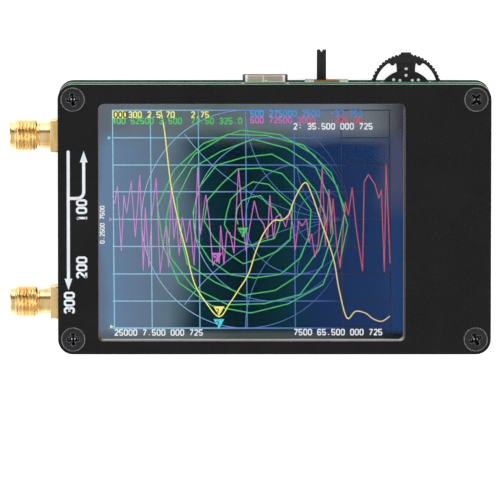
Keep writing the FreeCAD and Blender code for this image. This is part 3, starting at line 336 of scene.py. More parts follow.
# %% [markdown]
# The screws are blackened steel. Their coating is rubbed bright on the head's rim and on the ribs of the
# recess, which a screwdriver rubs, and these are partly wear and partly a painted highlight. Two sides of
# the cone at its bottom are painted bright, a painted highlight, and the rest of the recess is painted nearly
# black, a painted shade. Each place is told by the tilt of its surface and by its depth below the head.

# %% Blackened and worn steel
MIDDLE = PANEL_TOP / 2 * MM
RECESS_FROM, RECESS_TO = 5.52 * MM, 5.6 * MM
black = mottled("black_steel", (20, 20, 22), (37, 37, 40), 0.12, (0.36, 0.5), 0.003)
tilt = black.facing("Z")


def tilted(low, high):
    """1 where the tilt lies between two pairs of limits."""
    return black.both(black.rise(tilt, *low), black.fall(tilt, *high))


rubbed = black.between(black.grain(0.6), 0.35, 1, 0.35, 0.6)
from_centre = black.maths("ABSOLUTE", black.maths("SUBTRACT", black.along("Z"), MIDDLE))
shaded_recess = black.fall(from_centre, RECESS_FROM, RECESS_TO)
# Ribs rubbed bright: partly wear, partly a painted glint.
rib_wear_and_glint = black.both(tilted((0.17, 0.2), (0.33, 0.36)), rubbed)
# Painted highlight: the cone's two sides facing along X are painted bright and metallic as glints.
cone_glint = black.both(tilted((0.84, 0.87), (0.95, 0.97)), shaded_recess)
cone_glint = black.both(cone_glint, black.rise(black.facing("X"), 0.3, 0.36))
# The head's rim rubbed bright: partly wear, partly a painted highlight.
rim_wear_and_highlight = black.both(black.both(tilted((0.55, 0.66), (0.85, 0.96)), rubbed), black.fall(shaded_recess, 0, 1))
# Painted shade: the recess below the head is painted nearly black.
coat = black.blend(shaded_recess, own_colour(black), black.drift(0.2, (5, 5, 6), (12, 12, 13)))
for place, bright_mark in ((rib_wear_and_glint, (92, 92, 95)), (cone_glint, (214, 214, 220)), (rim_wear_and_highlight, (168, 168, 171))):
    coat = black.blend(place, coat, bright_mark)
black.set(Base_Color=coat, Specular_IOR_Level=black.between(shaded_recess, 0.5, 0.1),
          Metallic=black.between(cone_glint, 0.4, 1.0))

# %% [markdown]
# ## Plastics, resins and ceramics
#
# Control parts are moulded in dark, slightly speckled plastic with a fine spark-eroded texture. Chips are
# black epoxy filled with quartz, duller and rougher. The switch's base is brown pressed laminate. Each
# recipe sets its own grain.

# %% Moulded, pressed and fired parts
mottled("control_plastic", (14, 14, 14), (27, 26, 27), 0.1, (0.38, 0.56), 0.004, Specular_IOR_Level=0.35)
mottled("socket_plastic", (22, 22, 23), (36, 36, 37), 0.15, (0.35, 0.5), 0.003)
mottled("base_resin", (126, 78, 44), (170, 112, 66), 0.2, (0.45, 0.6), 0.004, (0.3, 1, 1))
mottled("plug_plastic", (222, 216, 198), (238, 233, 218), 0.3, (0.35, 0.5), 0.003, Subsurface_Weight=0.1,
        Subsurface_Scale=0.6 * MM)
mottled("display_frame", (226, 226, 222), (240, 240, 238), 0.5, (0.35, 0.5), 0.002)
mottled("chip_resin", (30, 30, 32), (46, 46, 48), 0.1, (0.5, 0.65), 0.005)
mottled("coil_ferrite", (52, 52, 55), (76, 76, 80), 0.12, (0.45, 0.6), 0.008)
mottled("port_dielectric", (226, 222, 212), (240, 238, 230), 0.4, (0.4, 0.55), 0.003,
        Subsurface_Weight=0.15, Subsurface_Scale=0.8 * MM)
mottled("lead_red", (150, 18, 16), (182, 28, 24), 0.3, (0.35, 0.5), 0.004, Coat_Weight=0.15)
mottled("lead_black", (18, 18, 19), (32, 32, 33), 0.3, (0.35, 0.5), 0.004, Coat_Weight=0.15)

# %% [markdown]
# Small chip capacitors are tan ceramic and chip resistors are black. One finish serves both: cells as
# large as a part choose tan or black, so neighbours differ. The lamps are clear resin over a yellow dot of
# phosphor.

# %% Chip parts and lamps
small = Recipe("small_ceramic")
body = small.blend(small.rise(small.cells(3.1), 0.42, 0.46), (168, 128, 88), (34, 33, 34))
small.coat(small.blend(small.between(small.grain(0.15), 0, 0.25), body, (200, 180, 150)),
           small.between(small.grain(0.1), 0.3, 0.5), small.bump(small.grain(0.08), 0.004))

resin = Recipe("lamp_resin", Transmission_Weight=0.35, IOR=1.5, Coat_Weight=0.4)
resin.coat(resin.blend(resin.fall(resin.cells(1.6), 0.18, 0.3), (232, 234, 228), (232, 200, 74)),
           resin.between(resin.grain(0.3), 0.12, 0.28), resin.bump(resin.grain(0.4), 0.004))

# %% [markdown]
# ## Films, foam and the battery
#
# The flex ribbons and the battery's circuit strip are amber film over copper tracks. The foam tape has
# open cells, so its bump comes from cell walls. The battery is a pouch of aluminium foil, faintly pebbled
# where the foil was drawn.

# %% Film, foam and foil
for slot, pitch in (("flex_film", 0.5), ("battery_film", 0.9)):
    film = Recipe(slot, Coat_Weight=0.3, Coat_Roughness=0.15)
    copper = film.rise(film.stripes(pitch, "Y"), 0.45, 0.6)
    film.coat(film.blend(copper, film.drift(2, (158, 86, 26), (190, 112, 38)), (206, 140, 66)),
              film.between(film.grain(0.4), 0.25, 0.4), film.bump(copper, 0.012))

foam = Recipe("foam_tape", Specular_IOR_Level=0.2)
walls = foam.cells(0.12, "DISTANCE_TO_EDGE")
foam.coat(foam.colours(walls, (0.0, 52, 52, 54), (0.25, 20, 20, 21)),
          foam.between(foam.grain(0.3), 0.8, 0.95), foam.bump(walls, -0.03))

foil = Recipe("battery_pouch", Metallic=0.75)
foil.coat(foil.drift(6, (158, 160, 163), (186, 188, 190)), foil.between(foil.grain(1.0), 0.34, 0.5),
          foil.bump(foil.cells(0.7, "SMOOTH_F1"), 0.02, foil.bump(foil.grain(5), 0.1)))

# %% [markdown]
# ## The display
#
# The touch panel is a clear sheet, bloomed against glare, with the faintest smears. Its edges are ground,
# so they are grey-green and cloudy, and show the layers it is glued from. The light guide is milky
# acrylic.

# %% Clear sheet and light guide
clear = Recipe("touch_glass", IOR=1.08, Specular_IOR_Level=0.1)
ground_edge = clear.fall(clear.facing("Z"), 0.4, 0.5)
layers = clear.colours(clear.stripes(0.4, "Z", wobble=0.2), (0.3, 52, 66, 64), (0.7, 104, 122, 118))
clear.set(Base_Color=clear.blend(ground_edge, clear.drift(9, (248, 250, 251), (253, 254, 254)), layers),
          Transmission_Weight=clear.fall(ground_edge, 0, 1),
          Roughness=clear.maths("MAXIMUM", clear.between(ground_edge, 0, 0.35),
                                clear.between(clear.grain(6), 0.0, 0.05, 0.45, 0.75)))
mottled("light_guide", (226, 230, 234), (240, 243, 246), 1.2, (0.2, 0.35), 0.002, Transmission_Weight=0.3,
        IOR=1.49)

# %% [markdown]
# Beneath it, the lit glass has a ground that changes across the screen: hazy blue-grey at the left and the
# top, deep blue-green in the middle, and navy at the right with a haze in its upper corner. This is partly
# the panel washing out when seen from one side and partly a painted reflection on the glass, and the haze
# in the upper corner is painted glare, a painted reflection. Along the bottom lies a thin pale band, where
# light leaks past the last row. Ramps along the width and the height give that ground, and fine stripes a
# fifth of a millimetre apart are its columns of picture cells.

# %% Lit glass
LIT_WIDTH = -34.7 * MM, 25.8 * MM
TOP_GLARE, LEAK = (14.2 * MM, 18.2 * MM), (-23.1 * MM, -22.0 * MM)
GLARE_ACROSS, GLARE_UP = (0.88, 0.96), (-1 * MM, 6 * MM)
ground = Recipe("display_glass", Specular_IOR_Level=0.03, Emission_Strength=0.95)
wander = ground.between(ground.grain(14, detail=1), -0.004, 0.004)
width = ground.rise(ground.maths("ADD", ground.along("X"), wander), *LIT_WIDTH)
height = ground.maths("ADD", ground.along("Y"), ground.between(ground.grain(9), -0.001, 0.001))
# Across the width: light at the left, dark in the middle, navy at the right; partly washout, partly a painted
# reflection.
middle = ground.colours(width, (0.0, 104, 122, 150), (0.03, 107, 136, 168), (0.14, 104, 124, 150),
                        (0.24, 98, 120, 134), (0.33, 6, 46, 56), (0.45, 2, 29, 37), (0.6, 3, 45, 52),
                        (0.66, 12, 50, 72), (0.74, 22, 48, 92), (0.94, 29, 56, 100), (0.965, 32, 62, 110))
# Lighter along the top: a painted reflection.
top = ground.colours(width, (0.0, 102, 112, 122), (0.1, 106, 120, 128), (0.4, 96, 112, 112),
                     (0.8, 116, 126, 140), (0.87, 110, 120, 126), (0.93, 86, 90, 98), (1.0, 50, 50, 54))
leak = ground.colours(width, (0.0, 96, 106, 112), (0.3, 98, 110, 112), (0.42, 74, 82, 80),
                      (0.7, 74, 80, 82), (0.84, 56, 58, 62), (0.97, 28, 32, 38))
# Painted glare in the upper right corner: a painted reflection.
corner = ground.both(ground.rise(width, *GLARE_ACROSS), ground.rise(height, *GLARE_UP))
lit = ground.blend(corner, middle, (72, 78, 104))
lit = ground.blend(ground.fall(ground.along("Y"), *LEAK), lit, leak)
lit = ground.blend(ground.rise(height, *TOP_GLARE), lit, top)
lit = ground.blend(ground.between(ground.stripes(0.2, "X"), 0.82, 1.0), (0, 0, 0), lit)
ground.coat(ground.blend(0.95, lit, (4, 5, 9)), ground.between(ground.grain(2), 0.2, 0.3),
            ground.bump(ground.grain(3), 0.002), Emission_Color=lit)
print("finishes mixed:", len(finishes))

# %% [markdown]
# ## Sky, lamps and floor
#
# A product shot wants soft, plain light. The sky here is a dome that is white near the horizon and grey
# overhead, so rounded metal gets bright edges and flat metal keeps its tone. A dark card stands high
# beyond the upper edge: it draws the dark line along the gilt jacks. Low behind that edge the dome has a
# soft bright patch, which puts the highlight above that line, and a wide lamp on each side lights the
# faces evenly without showing in them. The floor is a pale sheet. Seen directly it is lifted to white, and
# the light that the object blocks still shows on it as a faint shadow.

# %% Sky and lamps
scene.view_settings.view_transform = "Standard"
world = bpy.data.worlds.new("dome")
world.use_nodes = True
scene.world = world
sky = Mixer(world.node_tree)


def shades(amount, *stops):
    """Amount as a grey; each stop has its place and its light value."""
    ramp = sky.add("ValToRGB", {"Fac": amount})
    points = ramp.color_ramp.elements
    while len(points) < len(stops):
        points.new(0.5)
    for point, (place, shade) in zip(points, stops):
        point.position, point.color = place, (shade, shade, shade, 1)
    return ramp.outputs["Color"]


def vectors(operation, *values):
    return sky.add("VectorMath", dict(zip((0, "Scale" if operation == "SCALE" else 1), values)),
                   operation=operation).outputs


FAR_PATCH, FAR_STRENGTH = Vector((0.2, 0.95, 0.26)).normalized(), 3.5
directions = sky.add("TexCoord", {}).outputs["Generated"]
overhead = shades(sky.parts(directions)["Z"], (0.0, 1.0), (0.2, 0.95), (0.5, 0.66), (0.9, 0.72))
dark_card = shades(sky.parts(directions)["Y"], (0.42, 1.0), (0.52, 0.12), (0.9, 0.12), (0.96, 1.0))
toward = vectors("DOT_PRODUCT", directions, FAR_PATCH)["Value"]
patch = vectors("SCALE", shades(toward, (0.88, 0.0), (0.99, 1.0)), FAR_STRENGTH)[0]
light = vectors("ADD", vectors("MULTIPLY", overhead, dark_card)[0], patch)[0]
sky.put(world.node_tree.nodes["Background"].inputs["Color"], light)


def lamp(name, x, y):
    """A soft square lamp that looks at the object."""
    light = bpy.data.lights.new(name, "AREA")
    light.size, light.energy = LAMP_SIDE, LAMP_WATTS
    holder = bpy.data.objects.new(name, light)
    holder.location = (x, y, LAMP_HEIGHT)
    holder.rotation_euler = Vector(holder.location).to_track_quat("Z", "Y").to_euler()
    scene.collection.objects.link(holder)


LAMP_SIDE, LAMP_WATTS, LAMP_HEIGHT = 0.8, 4.0, 0.8
lamp("left_lamp", -0.9, -0.2)
lamp("right_lamp", 0.9, -0.1)

# %% A pale floor
FLOOR_HALF, FLOOR_DROP, FLOOR_LIFT = 4.0, 0.02 * MM, 0.7
sheet = bmesh.new()
sheet.faces.new([sheet.verts.new((x * FLOOR_HALF, y * FLOOR_HALF, 0))
                 for x, y in ((-1, -1), (1, -1), (1, 1), (-1, 1))])
floor_mesh = bpy.data.meshes.new("floor")
sheet.to_mesh(floor_mesh)
sheet.free()
floor = bpy.data.objects.new("floor", floor_mesh)
floor.location.z = -FLOOR_DROP
scene.collection.objects.link(floor)
paper = Recipe("floor_paper", Specular_IOR_Level=0.1)
rays = paper.add("LightPath", {}).outputs
seen = rays["Is Camera Ray"]
for way in ("Is Glossy Ray", "Is Transmission Ray"):
    seen = paper.maths("MAXIMUM", seen, rays[way])
paper.set(Base_Color=paper.drift(3, (238, 238, 238), (243, 243, 243)),
          Roughness=paper.between(paper.grain(1), 0.85, 0.95),
          Emission_Color=(255, 255, 255), Emission_Strength=paper.both(seen, FLOOR_LIFT))
floor.data.materials.append(paper.material)

# %% [markdown]
# ## Dressing the frame
#
# Real edges are never perfectly sharp: a moulding has a radius, a sawn board has a broken edge, a stamped
# strip has a rolled one. On every part of the frame, modifiers join the faces of each flat side and then
# round the edges by a few hundredths of a millimetre, or half a millimetre on the soft battery, which is
# what catches the light. The record says which finish each part takes.

# %% Round the edges and give each part its finish
EDGE = {"front_panel": 0.08, "rear_panel": 0.08, "battery_cell": 0.5, "usb_shell": 0.05,
        "jog_wheel": 0.05, "touch_panel": 0.1}
USUAL_EDGE = 0.03
FLAT_WITHIN, SHARP_FROM = math.radians(0.5), math.radians(28)
slot_of = {part["node"]: part["material_slot"] for part in frame["record"]["subparts"]}


def soften(piece, edge):
    """Round the sharp edges of a piece by edge mm."""
    for name, kind, settings in (
            ("join_faces", "WELD", {"merge_threshold": 1e-6}),
            ("whole_sides", "DECIMATE", {"decimate_type": "DISSOLVE", "angle_limit": FLAT_WITHIN}),
            ("rounded_edges", "BEVEL", {"width": edge * MM, "segments": 2, "angle_limit": SHARP_FROM,
                                        "use_clamp_overlap": False, "miter_outer": "MITER_ARC"}),
            ("even_shading", "WEIGHTED_NORMAL", {"keep_sharp": True})):
        modifier = piece.modifiers.new(name, kind)
        for setting, value in settings.items():
            setattr(modifier, setting, value)


for part, shape in nodes.items():
    shape.data.materials[0] = finishes[slot_of[part]]
    soften(shape, EDGE.get(part, USUAL_EDGE))
print("parts dressed:", len(nodes))

# %% [markdown]
# ## Making pieces
#
# New pieces are drawn point by point in millimetres. Three shapes cover nearly all of them: a flat plate
# from an outline, a turned form like one from a lathe, and a strip that follows a line with neat mitres.
# All three are rings of points joined by faces.

# %% Outlines and joined rings
def arc(middle, radius, start, end, steps=12):
    """Points along an arc, angles in degrees."""
    turns = [math.radians(start + (end - start) * step / steps) for step in range(steps + 1)]
    return [(middle[0] + radius * math.cos(turn), middle[1] + radius * math.sin(turn)) for turn in turns]


def rounded(low, high, radius, steps=6):
    """Outline of a box with round corners, from its lowest to its highest corner."""
    left, bottom, right, top = low[0] + radius, low[1] + radius, high[0] - radius, high[1] - radius
    outline = []
    for quarter, middle in enumerate(((right, bottom), (right, top), (left, top), (left, bottom))):
        outline += arc(middle, radius, 90 * quarter - 90, 90 * quarter, steps)
    return outline


def skin(form, rings, closed=False):
    """Join rings of points by faces; a closed form joins its last ring to its first."""
    for ring, following in zip(rings, rings[1:] + rings[:closed]):
        for index, point in enumerate(ring):
            after = (index + 1) % len(ring)
            form.faces.new((point, ring[after], following[after], following[index]))
    if not closed:
        form.faces.new(rings[0][::-1])
        form.faces.new(rings[-1])


# %% Plates, turned forms and strips
def plate(form, outline, low, high, place=Matrix(), shrink=0.0):
    """A flat plate between two heights; shrink draws its lower outline in towards the middle."""
    middle = sum((Vector(point) for point in outline), Vector((0, 0))) / len(outline)
    lower = [form.verts.new(place @ Vector((*middle.lerp(Vector(p), 1 - shrink), low))) for p in outline]
    upper = [form.verts.new(place @ Vector((*p, high))) for p in outline]
    skin(form, [lower, upper])


def turned(form, profile, place=Matrix(), sides=64, hollow=False, reach=None):
    """A form turned on a lathe from (place along the axis, radius) pairs. A hollow one closes on its
    first ring. reach may change the radius by place and angle, for a thread."""
    rings = []
    for along, radius in profile:
        ring = []
        for turn in (math.tau * side / sides for side in range(sides)):
            r = reach(along, turn, radius) if reach else radius
            ring.append(form.verts.new(place @ Vector((r * math.cos(turn), r * math.sin(turn), along))))
        rings.append(ring)
    skin(form, rings, hollow)


SHARPEST_MITRE = 0.6


def strip(form, line, width, low, high, place=Matrix()):
    """A flat strip along a line of points. Its turns are mitred, or square where it turns back sharply."""
    spots = [Vector(point) for point in line]
    rings = []
    for index, spot in enumerate(spots):
        into = (spot - spots[max(index - 1, 0)]).normalized()
        out = (spots[min(index + 1, len(spots) - 1)] - spot).normalized()
        into, out = into if into.length else out, out if out.length else into
        before, after = Vector((-into.y, into.x)), Vector((-out.y, out.x))
        mitre = (before + after).normalized()
        lean = mitre.dot(before)
        for side, reach in ((mitre, 1 / lean),) if lean > SHARPEST_MITRE else ((before, 1), (after, 1)):
            rings.append([form.verts.new(place @ Vector((*(spot + side * reach * width / 2 * way), level)))
                          for way, level in ((-1, low), (1, low), (1, high), (-1, high))])
    skin(form, rings)


# %% [markdown]
# The next function turns a drawn form into a piece, tells the frame which body it rides on and rounds its
# edges.

# %% From a form to a piece
SMOOTH_BELOW = math.radians(35)


def mesh_of(form, name):
    """A mesh with the form's faces, all facing out; the form is used up."""
    bmesh.ops.recalc_face_normals(form, faces=form.faces)
    mesh = bpy.data.meshes.new(name)
    form.to_mesh(mesh)
    return mesh


def show(form, name, body, slot, finish=None, stands_for=(), edge=0.0):
    """Turn a form drawn in mm into a piece of the object."""
    bmesh.ops.scale(form, vec=(MM, MM, MM), verts=form.verts)
    mesh = mesh_of(form, name)
    form.free()
    mesh.shade_smooth()
    mesh.set_sharp_from_angle(angle=SMOOTH_BELOW)
    mesh.materials.append(finish or finishes[slot])
    piece = bpy.data.objects.new(name, mesh)
    scene.collection.objects.link(piece)
    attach(piece, body)
    if stands_for:
        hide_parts(*stands_for)
    if edge:
        soften(piece, edge)
    print(name, "has", len(mesh.polygons), "faces")


# %% [markdown]
# Slits, recesses and channels are cut the way a maker cuts them: a closed tool is drawn and taken away
# from the form.

# %% Cut away
def cut_away(form, tool):
    """Cut a closed tool out of a closed form; both are drawn in mm."""
    makers = []
    for shape in (form, tool):
        makers.append(bpy.data.objects.new("cutting", mesh_of(shape, "cutting")))
        scene.collection.objects.link(makers[-1])
    cutting = makers[0].modifiers.new("cut", "BOOLEAN")
    cutting.operation = "DIFFERENCE"
    cutting.object = makers[1]
    made = makers[0].evaluated_get(bpy.context.evaluated_depsgraph_get())
    form.clear()
    form.from_mesh(bpy.data.meshes.new_from_object(made))
    tool.free()
    for maker in makers:
        bpy.data.objects.remove(maker)


# %% [markdown]
# Both the panel's print and the display carry numbers. A board maker's lettering is drawn with a few
# straight strokes, so each numeral here is a string of grid points, four across and six up, and each
# stroke becomes a strip.

# %% Numerals from strokes
STROKES = {"0": "01 10 30 41 45 36 16 05 01", "1": "15 26 20/10 30", "2": "05 16 36 45 44 00 40",
           "3": "05 16 36 45 44 33 42 41 30 10 01/13 33", "4": "30 36 02 42",
           "5": "46 06 03 33 42 41 30 10 01", "6": "45 36 16 05 01 10 30 41 42 33 03", "7": "06 46 10",
           "8": "13 04 05 16 36 45 44 33 13 02 01 10 30 41 42 33", "9": "01 10 30 41 45 36 16 05 04 13 43",
           ".": "20 21", ":": "21 22/24 25", "-": "13 33"}
ADVANCE, NARROWED = 5.15, 0.85


def numbers(form, text, corner, height, stroke, low, high, turn=0.0):
    """Write numbers from their lower left corner, with a turn in degrees."""
    unit = height / 6
    place = Matrix.Translation((*corner, 0)) @ Matrix.Rotation(math.radians(turn), 4, "Z")
    for index, mark in enumerate(text):
        for line in STROKES.get(mark, "").split("/"):
            points = [((int(x) * NARROWED + ADVANCE * index) * unit, int(y) * unit) for x, y in line.split()]
            if points:
                strip(form, points, stroke, low, high, place)

# %% [markdown]
# ## What the display shows
#
# The display of such an analyzer shows a grid, a chart of circles and arcs, three traces and rows of
# figures. On the real one they are lit cells. Here each is a thin strip on the lit glass, under the touch
# panel, with light of its own, and each layer stands a few thousandths of a millimetre above the last. The
# lines are placed by measuring an enlarged view of the picture, and one function turns such a measure into
# millimetres on the glass, allowing for the camera's lean.
#
# The washed-out ground has a counterpart in the lines: cyan and bright at the left, blue in the middle,
# nearly black at the right. So a lit line's colour is a ramp along the width.

# %% Places and colours on the display
ENLARGED_ACROSS, ENLARGED_DOWN = 4.757, 4.79
VIEW_LEFT, VIEW_TOP = 95.2, 100.3
PANEL_MIDDLE_ACROSS, PANEL_MIDDLE_DOWN = 274.5, 219.8
PIXELS_DOWN_PER_MM = 5.04
LIT_GLASS, SUNK = 8.5, 0.004
LEAN_SHIFT = (PANEL_TOP - LIT_GLASS) * 0.503
LINE_STEP = 0.006


def on_glass(across, down):
    """Where a point of the enlarged view lies on the lit glass, in mm."""
    return ((VIEW_LEFT + across / ENLARGED_ACROSS - PANEL_MIDDLE_ACROSS) / PIXELS_PER_MM,
            (PANEL_MIDDLE_DOWN - VIEW_TOP - down / ENLARGED_DOWN - LEAN_SHIFT) / PIXELS_DOWN_PER_MM)


def lit_line(name, brightness, *stops):
    """Light whose colour changes across the glass, flickering a little from cell to cell."""
    recipe = Recipe(name, Roughness=0.4, Base_Color=(0, 0, 0))
    flicker = recipe.between(recipe.grain(0.5), brightness * 0.8, brightness * 1.1, 0.3, 0.7)
    across = recipe.rise(recipe.along("X"), *LIT_WIDTH)
    recipe.set(Emission_Color=recipe.colours(across, *stops), Emission_Strength=flicker)
    return recipe.material


def lit_piece(form, name, finish):
    show(form, name, "case", "display_glass", finish)


level = LIT_GLASS


def next_level():
    """Each layer of lines lies a little above the last, so that crossing lines never share a face."""
    global level
    level += LINE_STEP
    return LIT_GLASS - SUNK, level


# %% Grid and chart
grid_light = lit_line("grid_light", 1.0, (0.0, 156, 212, 230), (0.28, 130, 184, 216), (0.5, 80, 126, 196),
                      (0.72, 56, 92, 168), (0.8, 8, 14, 36))
chart_light = lit_line("chart_light", 1.0, (0.0, 176, 200, 226), (0.3, 150, 186, 226),
                       (0.45, 92, 140, 214), (0.7, 60, 92, 170), (0.8, 14, 26, 66))
GRID_ACROSS = (82, 262, 490, 715, 945, 1170, 1400)
GRID_DOWN = (48, 180, 310, 438, 570, 700, 832, 962, 1092)
GRID_LEFT, GRID_RIGHT, GRID_LEAN = 82, 1405, 8
GRID_LINE, GRID_FOOT = 0.2, 0.3
form = bmesh.new()
low, high = next_level()
for across in GRID_ACROSS:
    upright = [on_glass(across, GRID_DOWN[0]), on_glass(across + GRID_LEAN, GRID_DOWN[-1])]
    strip(form, upright, GRID_LINE, low, high)
low, high = next_level()
for down in GRID_DOWN:
    wide = GRID_FOOT if down == GRID_DOWN[-1] else GRID_LINE
    strip(form, [on_glass(GRID_LEFT, down), on_glass(GRID_RIGHT, down)], wide, low, high)
lit_piece(form, "display_grid", grid_light)

CHART_MIDDLE = (715, 570)
CHART_HALF_ACROSS, CHART_HALF_DOWN = 495, 522
OUTSIDE = (9, 9)


def chart_line(form, middle, radius, start, end, width):
    """Part of a circle of the chart, in chart radii, cut off where it leaves the outer circle."""
    low, high = next_level()
    run = []
    for x, y in arc(middle, radius, start, end, 96) + [OUTSIDE]:
        if math.hypot(x, y) <= 1.0001:
            run.append(on_glass(CHART_MIDDLE[0] + x * CHART_HALF_ACROSS,
                                CHART_MIDDLE[1] - y * CHART_HALF_DOWN))
        else:
            if len(run) > 1:
                strip(form, run, width, low, high)
            run = []


form = bmesh.new()
chart_line(form, (0, 0), 1.0, 0, 360, 0.14)
for share in (0.25, 0.5, 0.75):
    chart_line(form, (1 - share, 0), share, 0, 360, 0.13)
for share in (0.5, 1.0, 2.0):
    chart_line(form, (1, share), share, 180, 360, 0.11)
    chart_line(form, (1, -share), share, 0, 180, 0.11)
lit_piece(form, "display_chart", chart_light)

# %% [markdown]
# The green trace winds round the chart in straight runs, which is how a sweep of few points looks. It is a
# spiral with about fifteen points to a turn and a little seeded unevenness. The violet one is noise:
# spikes up and down from the middle line. The yellow one is smooth, so a few points are enough and a curve
# through them gives the rest.

# %% The green trace
def trace(name, light, line, width):
    form = bmesh.new()
    strip(form, line, width, *next_level())
    lit_piece(form, name, light)


green_light = lit_line("green_light", 0.95, (0.0, 96, 214, 120), (0.35, 70, 200, 96), (1.0, 58, 186, 98))
sweep = random.Random(5)
SPIRAL_POINTS, SPIRAL_START, SPIRAL_STEP = 98, 200, 24.6
SPIRAL_NEAR, SPIRAL_GROWTH, UNEVEN = 84, 366, 14
spiral = []
for step in range(SPIRAL_POINTS):
    share = step / (SPIRAL_POINTS - 1)
    turn = math.radians(SPIRAL_START - SPIRAL_STEP * step)
    growth = SPIRAL_GROWTH * math.sin(share * math.pi / 2) ** 1.25
    out = SPIRAL_NEAR + growth + sweep.uniform(-UNEVEN, UNEVEN)
    spiral.append(on_glass(762 - 16 * share + out * math.cos(turn), 564 + 21 * share - out * math.sin(turn)))
trace("display_green_trace", green_light, spiral, 0.2)

# %% The violet trace
violet_light = lit_line("violet_light", 0.9, (0.0, 214, 156, 222), (0.3, 206, 122, 216),
                        (0.6, 206, 100, 190), (0.8, 204, 80, 110), (1.0, 206, 84, 104))
SPIKES = ((82, 460), (92, 495), (105, 410), (123, 720), (136, 455), (149, 540), (171, 388), (190, 655),
          (212, 358), (228, 815), (238, 512), (254, 800), (268, 560), (290, 372), (308, 828),
          (334, 600), (349, 800), (360, 420), (374, 665), (386, 560), (399, 745), (414, 560),
          (434, 680), (450, 570), (470, 790), (487, 322), (500, 642), (526, 452), (541, 560),
          (560, 792), (578, 745), (590, 782), (597, 600), (612, 786), (626, 628), (641, 634),
          (660, 733), (682, 328), (700, 560), (718, 722), (736, 600), (757, 482), (776, 560),
          (801, 592), (820, 664), (831, 455), (848, 660), (861, 560), (881, 545), (906, 607),
          (926, 528), (941, 602), (952, 716), (968, 578), (986, 602), (1006, 568), (1018, 680),
          (1030, 640), (1046, 752), (1063, 680), (1080, 322), (1096, 700), (1113, 426), (1121, 640),
          (1132, 470), (1150, 700), (1166, 803), (1190, 487), (1205, 550), (1223, 418), (1241, 600),
          (1273, 818), (1280, 392), (1300, 355), (1331, 402), (1350, 470), (1362, 428), (1377, 822),
          (1384, 308), (1396, 580), (1404, 780))
trace("display_violet_trace", violet_light, [on_glass(*spike) for spike in SPIKES], 0.17)

# %% The yellow trace
yellow_light = lit_line("yellow_light", 1.0, (0.0, 252, 246, 140), (0.4, 242, 236, 108),
                        (0.8, 232, 208, 124), (1.0, 206, 180, 136))
BENDS = ((312, 48), (330, 150), (350, 330), (366, 440), (398, 590), (432, 720), (470, 872), (522, 962),
         (589, 1037), (640, 972), (684, 905), (730, 830), (762, 730), (800, 640), (848, 578),
         (888, 574), (922, 545), (950, 470), (998, 394), (1030, 450), (1072, 572), (1112, 684),
         (1140, 782), (1160, 900), (1198, 1042), (1240, 1011), (1288, 1020), (1322, 1046), (1366, 1059),
         (1408, 1030))
smooth = []
for before, start, end, after in zip(BENDS[:1] + BENDS, BENDS, BENDS[1:], BENDS[2:] + BENDS[-1:]):
    for t in (step / 6 for step in range(6)):
        smooth.append(on_glass(*(0.5 * (2 * q + (r - p) * t + (2 * p - 5 * q + 4 * r - s) * t * t
                                        + (3 * q - p - 3 * r + s) * t ** 3)
                                 for p, q, r, s in zip(before, start, end, after))))
trace("display_yellow_trace", yellow_light, smooth, 0.22)

# %% [markdown]
# Rows of figures frame the grid: settings along the top, the marked reading beneath them and the range at
# the bottom. They are plain round numbers here. Small triangles mark the traces' zero lines and the
# reading, and the first figure of the top row stands on a lit block.

# %% Figures
white_light = lit_line("white_light", 1.0, (0.0, 236, 238, 240), (1.0, 226, 228, 236))
cyan_light = lit_line("cyan_light", 1.0, (0.0, 96, 226, 240), (0.4, 70, 214, 236), (1.0, 70, 150, 226))
blue_light = lit_line("blue_light", 0.95, (0.5, 58, 160, 226), (0.9, 64, 120, 200))
FIGURE_HEIGHT, FIGURE_STROKE = 1.08, 0.23
SMALL_HEIGHT, SMALL_STROKE, UNLIT_STROKE = 0.8, 0.17, 0.16
ROWS = ((yellow_light, ((160, 82, "300 2.5 70"), (458, 82, "2.75"))),
        (green_light, ((82, 112, "400 52500 3.500"), (458, 112, "72.50 325.0"))),
        (blue_light, ((740, 76, "500 275000 2500  -37.250"),)),
        (violet_light, ((740, 108, "600 72500 3000   -225.00"),)),
        (white_light, ((945, 138, "2: 35.500 000 725"), (92, 1126, "25000 7.500 000 725"),
                       (948, 1124, "7500 65.500 000 725"))))
for index, (light, rows) in enumerate(ROWS):
    form = bmesh.new()
    low, high = next_level()
    for across, down, text in rows:
        numbers(form, text, on_glass(across, down), FIGURE_HEIGHT, FIGURE_STROKE, low, high)
    lit_piece(form, f"display_figures_{index + 1}", light)

# %% Markers
LEFT_MARKS, MARKS_ON_TRACES = -90, 180
MARKS = ((cyan_light, ((68, 180, LEFT_MARKS), (588, 1072, MARKS_ON_TRACES))),
         (violet_light, ((74, 570, LEFT_MARKS), (578, 754, MARKS_ON_TRACES))),
         (yellow_light, ((78, 1085, LEFT_MARKS), (588, 1011, MARKS_ON_TRACES))),
         (green_light, ((702, 634, MARKS_ON_TRACES),)), (white_light, ()))
MARK_HALF, MARK_HALF_TALL = 0.55, 0.5
SMALL_MARK, LARGE_MARK = 0.7, 1.95
LIT_BLOCK = ((82, 86), (150, 86), (150, 52), (82, 52))
for index, (light, marks) in enumerate(MARKS):
    form = bmesh.new()
    low, high = next_level()
    for across, down, turn in marks:
        spot = Matrix.Translation((*on_glass(across, down), 0))
        size = SMALL_MARK if turn == LEFT_MARKS else LARGE_MARK
        half, tall = MARK_HALF * size, MARK_HALF_TALL * size
        plate(form, [(-half, -tall), (half, -tall), (0, tall)], low, high,
              spot @ Matrix.Rotation(math.radians(turn), 4, "Z"))
    if light is white_light:
        numbers(form, "0.2500 7500", on_glass(42, 684), SMALL_HEIGHT, SMALL_STROKE, low, high, 90)
    if light is yellow_light:
        plate(form, [on_glass(*corner) for corner in LIT_BLOCK], low, high)
    lit_piece(form, f"display_marks_{index + 1}", light)
